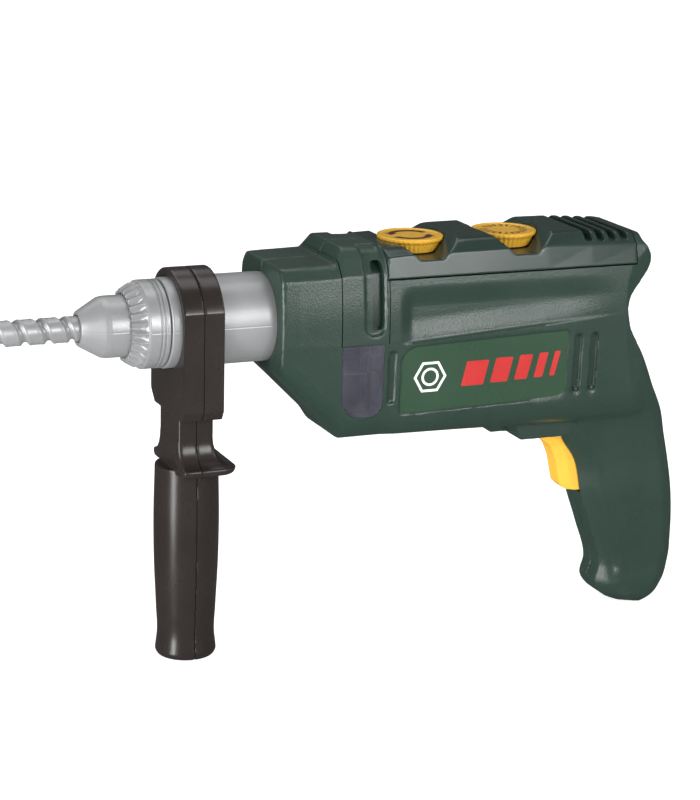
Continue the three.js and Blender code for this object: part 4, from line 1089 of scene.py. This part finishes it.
def guard_solid():
    """The neck flaring out into the guard on a quarter circle, then a thick lip with a rolled edge."""
    a = np.linspace(0, math.pi / 2, 13)
    out = (1 - np.cos(a)) * (GUARD_HALF - NECK_HALF)
    z = GUARD_Z + 11 - np.sin(a) * 11
    lip = np.array([(0.0, 0.0), (0.0, -1.4), (-0.5, -2.6), (-1.6, -3.4)])
    out = np.concatenate([out, out[-1] + lip[1:, 0]])
    z = np.concatenate([z, z[-1] + lip[1:, 1]])
    front, rear = HANDLE_X - 8.6, HANDLE_X + 8.2
    corners = np.stack([
        np.column_stack([np.full_like(out, front), -NECK_HALF - out]),
        np.column_stack([rear + out, -NECK_HALF - out]),
        np.column_stack([rear + out, NECK_HALF + out]),
        np.column_stack([np.full_like(out, front), NECK_HALF + out]),
    ], axis=1)
    soft = np.column_stack([np.full_like(out, 2.0), 2 + out * 0.6, 2 + out * 0.6, np.full_like(out, 2.0)])
    outline = rounded(corners, soft, 8)
    height = np.broadcast_to(z[:, None, None], (*outline.shape[:2], 1))
    return loft("guard", np.concatenate([outline, height], axis=-1))


def handle_grip():
    """The round grip: a slow swell on a cubic, then a small flare at the foot."""
    places = np.array([FOOT_Z, FOOT_Z + 1.4, FOOT_Z + 4.5, FOOT_Z + 9, -130, -110, -90, GUARD_Z - 2])
    sizes = np.array([[12.5], [13.5], [13.45], [12.95], [13.4], [14.3], [14.6], [14.1]])
    z = np.concatenate([[FOOT_Z], np.arange(FOOT_Z + 0.7, GUARD_Z - 2, 1.0)])
    radius = eased(z, places, sizes)[:, 0]
    return turned(np.column_stack([radius, z]), "z", 128, centre=(HANDLE_X, 0))


def make_handle():
    neck = prism(rounded([(HANDLE_X - 8.3, -NECK_HALF), (HANDLE_X + 8, -NECK_HALF),
                          (HANDLE_X + 8, NECK_HALF), (HANDLE_X - 8.3, NECK_HALF)], 1.5),
                 GUARD_Z + 1, CLAMP_BOTTOM + 2, "z")
    blank = join(clamp_solid(), neck, guard_solid(), handle_grip())
    cut(blank, rod(BARREL_RADIUS + 0.3, -60, 0, "x", sides=160))
    seam = 0.06
    parts = {"handle_front_half": block(HANDLE_X - 60, HANDLE_X - seam, -60, 60, -200, 60),
             "handle_rear_half": block(HANDLE_X + seam, HANDLE_X + 60, -60, 60, -200, 60)}
    for name, side in parts.items():
        half = common(copied(blank), side)
        softened(half, 0.48, 4)
        if name == "handle_rear_half":
            for z in HANDLE_SCREW_ZS:
                cut(half, rod(HEAD_BORE, HANDLE_X + 5.6, HANDLE_X + 60, "x", (0, z), 32))
        seat(half, name + "_skin", "side_handle", HANDLE_BLACK, [name])
    bpy.data.objects.remove(blank)


# ---------- trigger ----------
TRIGGER_HALF = box_mm("trigger")[1][1]


def make_trigger():
    """A curved lever whose front narrows: half width eases from the front edge to full width."""
    corners = [(137.5, -63), (139, -67.2), (144.6, -71.2), (147.6, -78), (150.4, -90.6), (153.6, -93.6),
               (163.5, -93.6), (166, -80), (166, -63)]
    outline = rounded(corners, [0.5, 1.5, 4, 8, 2, 2, 0.5, 2, 0.5], 8)
    trigger = softened(prism(outline, -TRIGGER_HALF, TRIGGER_HALF, "y"), 0.32, 3)
    x, y, z = mesh_points(trigger.data).T
    edge = np.interp(z, [-93.6, -90.6, -78, -71.2, -67.2, -63], [152.8, 150.2, 147.4, 144.4, 139.5, 137.5])
    slim = 0.62 + 0.38 * smooth_step(0.0, 5.5, x - edge)
    set_points(trigger.data, np.column_stack([x, y * slim, z]))
    cut(trigger, rod(2.6, 163, 170, "x", (0, -80), 24))
    seat(trigger, "trigger_skin", "trigger", DIAL_YELLOW, ["trigger"])


# ---------- screws ----------
def make_screw(node_name, body, along, centre, seat_at, foot):
    """A pan-head screw with a cross recess; its axis points out of the head."""
    top = seat_at + 1.8
    outline = [(0.01, foot), (1.3, foot), (1.3, seat_at), (2.7, seat_at), (2.7, top - 0.7), (1.6, top),
               (0.01, top)]
    screw = turned(rounded_profile(outline, [0, 0.3, 0.1, 0.2, 0.7, 1.0, 0]), along, 40, centre=centre)
    for long, short in ((1.5, 0.32), (0.32, 1.5)):
        corners = np.array([(-long, -short), (long, -short), (long, short), (-long, short)]) + centre
        cut(screw, prism(corners, top - 1.0, top + 1, along))
    seat(screw, node_name + "_skin", body, STEEL, [node_name])


def make_screws():
    for i, (x, z, seat_at) in enumerate(CASE_SCREWS, 1):
        make_screw(f"case_screw_{i}", "housing", "y", (x, z), seat_at, -12)
    for i, z in enumerate(HANDLE_SCREW_ZS, 1):
        make_screw(f"handle_screw_{i}", "side_handle", "x", (0, z), HANDLE_X + 5.9, HANDLE_X - 5.6)
    make_screw("battery_cover_screw", "battery_cover", "y", DOOR_SCREW, 16.0, 13.0)


make_housing()
make_label()
make_cover()
for dial_name in DIALS:
    make_dial(dial_name)
make_direction_print()
make_mode_print()
make_barrel()
make_sleeve()
make_ring()
make_bit()
make_handle()
make_trigger()
make_screws()

# ---------- finishes for the CAD nodes that show as they are ----------
SLOT_FINISHES = {
    "green_plastic": HOUSING_GREEN, "dark_green_plastic": COVER_GREEN, "yellow_plastic": DIAL_YELLOW,
    "black_plastic": HANDLE_BLACK, "silver_plastic": SILVER, "smoky_clear": SMOKY_CLEAR,
    "grey_plastic": GREY_PLASTIC, "white_plastic": WHITE_PLASTIC, "steel": STEEL, "brass": BRASS,
    "cell_jacket": JACKET, "board_green": BOARD,
}
for subpart in frame["record"]["subparts"]:
    shown = frame["nodes"][subpart["node"]]
    if not shown.material_slots:
        shown.data.materials.append(None)
    for material_slot in shown.material_slots:
        material_slot.material = SLOT_FINISHES[subpart["material_slot"]]


# ---------- camera, lights and floor ----------
def looking(back, roll=0.0):
    """A turn whose Z axis is back, with X level before the roll."""
    back = Vector(back).normalized()
    right = Vector((-back.y, back.x, 0)).normalized()
    up = back.cross(right)
    level = Matrix((right, up, back)).transposed()
    return level @ Matrix.Rotation(roll, 3, "Z")


def from_angles(azimuth, elevation):
    a, e = math.radians(azimuth), math.radians(elevation)
    return Vector((math.sin(a) * math.cos(e), -math.cos(a) * math.cos(e), math.sin(e)))


def add_camera(target, azimuth, elevation, roll, distance, lens):
    camera = bpy.data.objects.new("camera", bpy.data.cameras.new("camera"))
    bpy.context.scene.collection.objects.link(camera)
    camera.data.sensor_width = 36.0
    camera.data.lens = lens
    camera.data.clip_start = 0.05
    back = from_angles(azimuth, elevation)
    turn = looking(back, math.radians(roll)).to_4x4()
    camera.matrix_world = Matrix.Translation(Vector(target) + back * distance) @ turn
    bpy.context.scene.camera = camera


def add_softbox(name, azimuth, elevation, distance, size, power, colour=(1, 1, 1)):
    lamp = bpy.data.lights.new(name, "AREA")
    lamp.shape = "RECTANGLE"
    lamp.size, lamp.size_y = size
    lamp.energy = power
    lamp.color = colour
    obj = bpy.data.objects.new(name, lamp)
    bpy.context.scene.collection.objects.link(obj)
    back = from_angles(azimuth, elevation)
    obj.matrix_world = Matrix.Translation(MIDDLE + back * distance) @ looking(back).to_4x4()


def add_stage():
    """A pale round floor that curves up into a far wall, all one turned surface."""
    bend = np.linspace(-math.pi / 2, 0, 13)
    profile = np.concatenate([[(1e-5, 0.0)], np.column_stack([2.4 + np.cos(bend), 1.0 + np.sin(bend)]),
                              [(3.4, 3.0)]])
    angle = np.linspace(0, 2 * math.pi, 96, endpoint=False)[None]
    radius, height = profile[:, :1], profile[:, 1:]
    floor_z = cad_box[0][2]
    grid = np.stack([radius * np.cos(angle), radius * np.sin(angle), height + floor_z + 0 * angle], -1)
    mesh = bpy.data.meshes.new("floor")
    mesh.from_pydata(grid.reshape(-1, 3).tolist(), [], grid_faces(*grid.shape[:2]))
    mesh.polygons.foreach_set("use_smooth", np.ones(len(mesh.polygons), bool))
    floor = bpy.data.objects.new("floor", mesh)
    bpy.context.scene.collection.objects.link(floor)
    paper = bpy.data.materials.new("pale paper")
    paper.use_nodes = True
    surface = paper.node_tree.nodes["Principled BSDF"]
    surface.inputs["Base Color"].default_value = (0.5, 0.5, 0.5, 1)
    surface.inputs["Roughness"].default_value = 0.9
    surface.inputs["Emission Color"].default_value = (1, 1, 1, 1)
    surface.inputs["Emission Strength"].default_value = 0.82
    mesh.materials.append(paper)
    floor.visible_glossy = False
    floor.visible_shadow = False


MIDDLE = Vector(ORIGIN + np.array([43.8, 0.0, -42.1]) * MM)
add_camera(MIDDLE, azimuth=-23.22, elevation=15.16, roll=1.45, distance=1.085, lens=108.045)
add_stage()
# name, azimuth, elevation, distance, size, power
add_softbox("top softbox", 160, 78, 1.2, (1.0, 0.5), 3)
add_softbox("left softbox", -66, 2, 1.2, (0.28, 0.9), 11)
add_softbox("front softbox", 19, 16, 1.5, (0.5, 0.6), 9)
add_softbox("right softbox", 60, 30, 1.5, (0.5, 0.8), 2.5)
add_softbox("rear softbox", 185, 50, 1.6, (1.2, 0.6), 3)
world = bpy.data.worlds.new("studio")
bpy.context.scene.world = world
world.use_nodes = True
backdrop = world.node_tree.nodes["Background"]
backdrop.inputs["Color"].default_value = (1, 1, 1, 1)
backdrop.inputs["Strength"].default_value = 0.08
bpy.context.scene.view_settings.view_transform = "Standard"
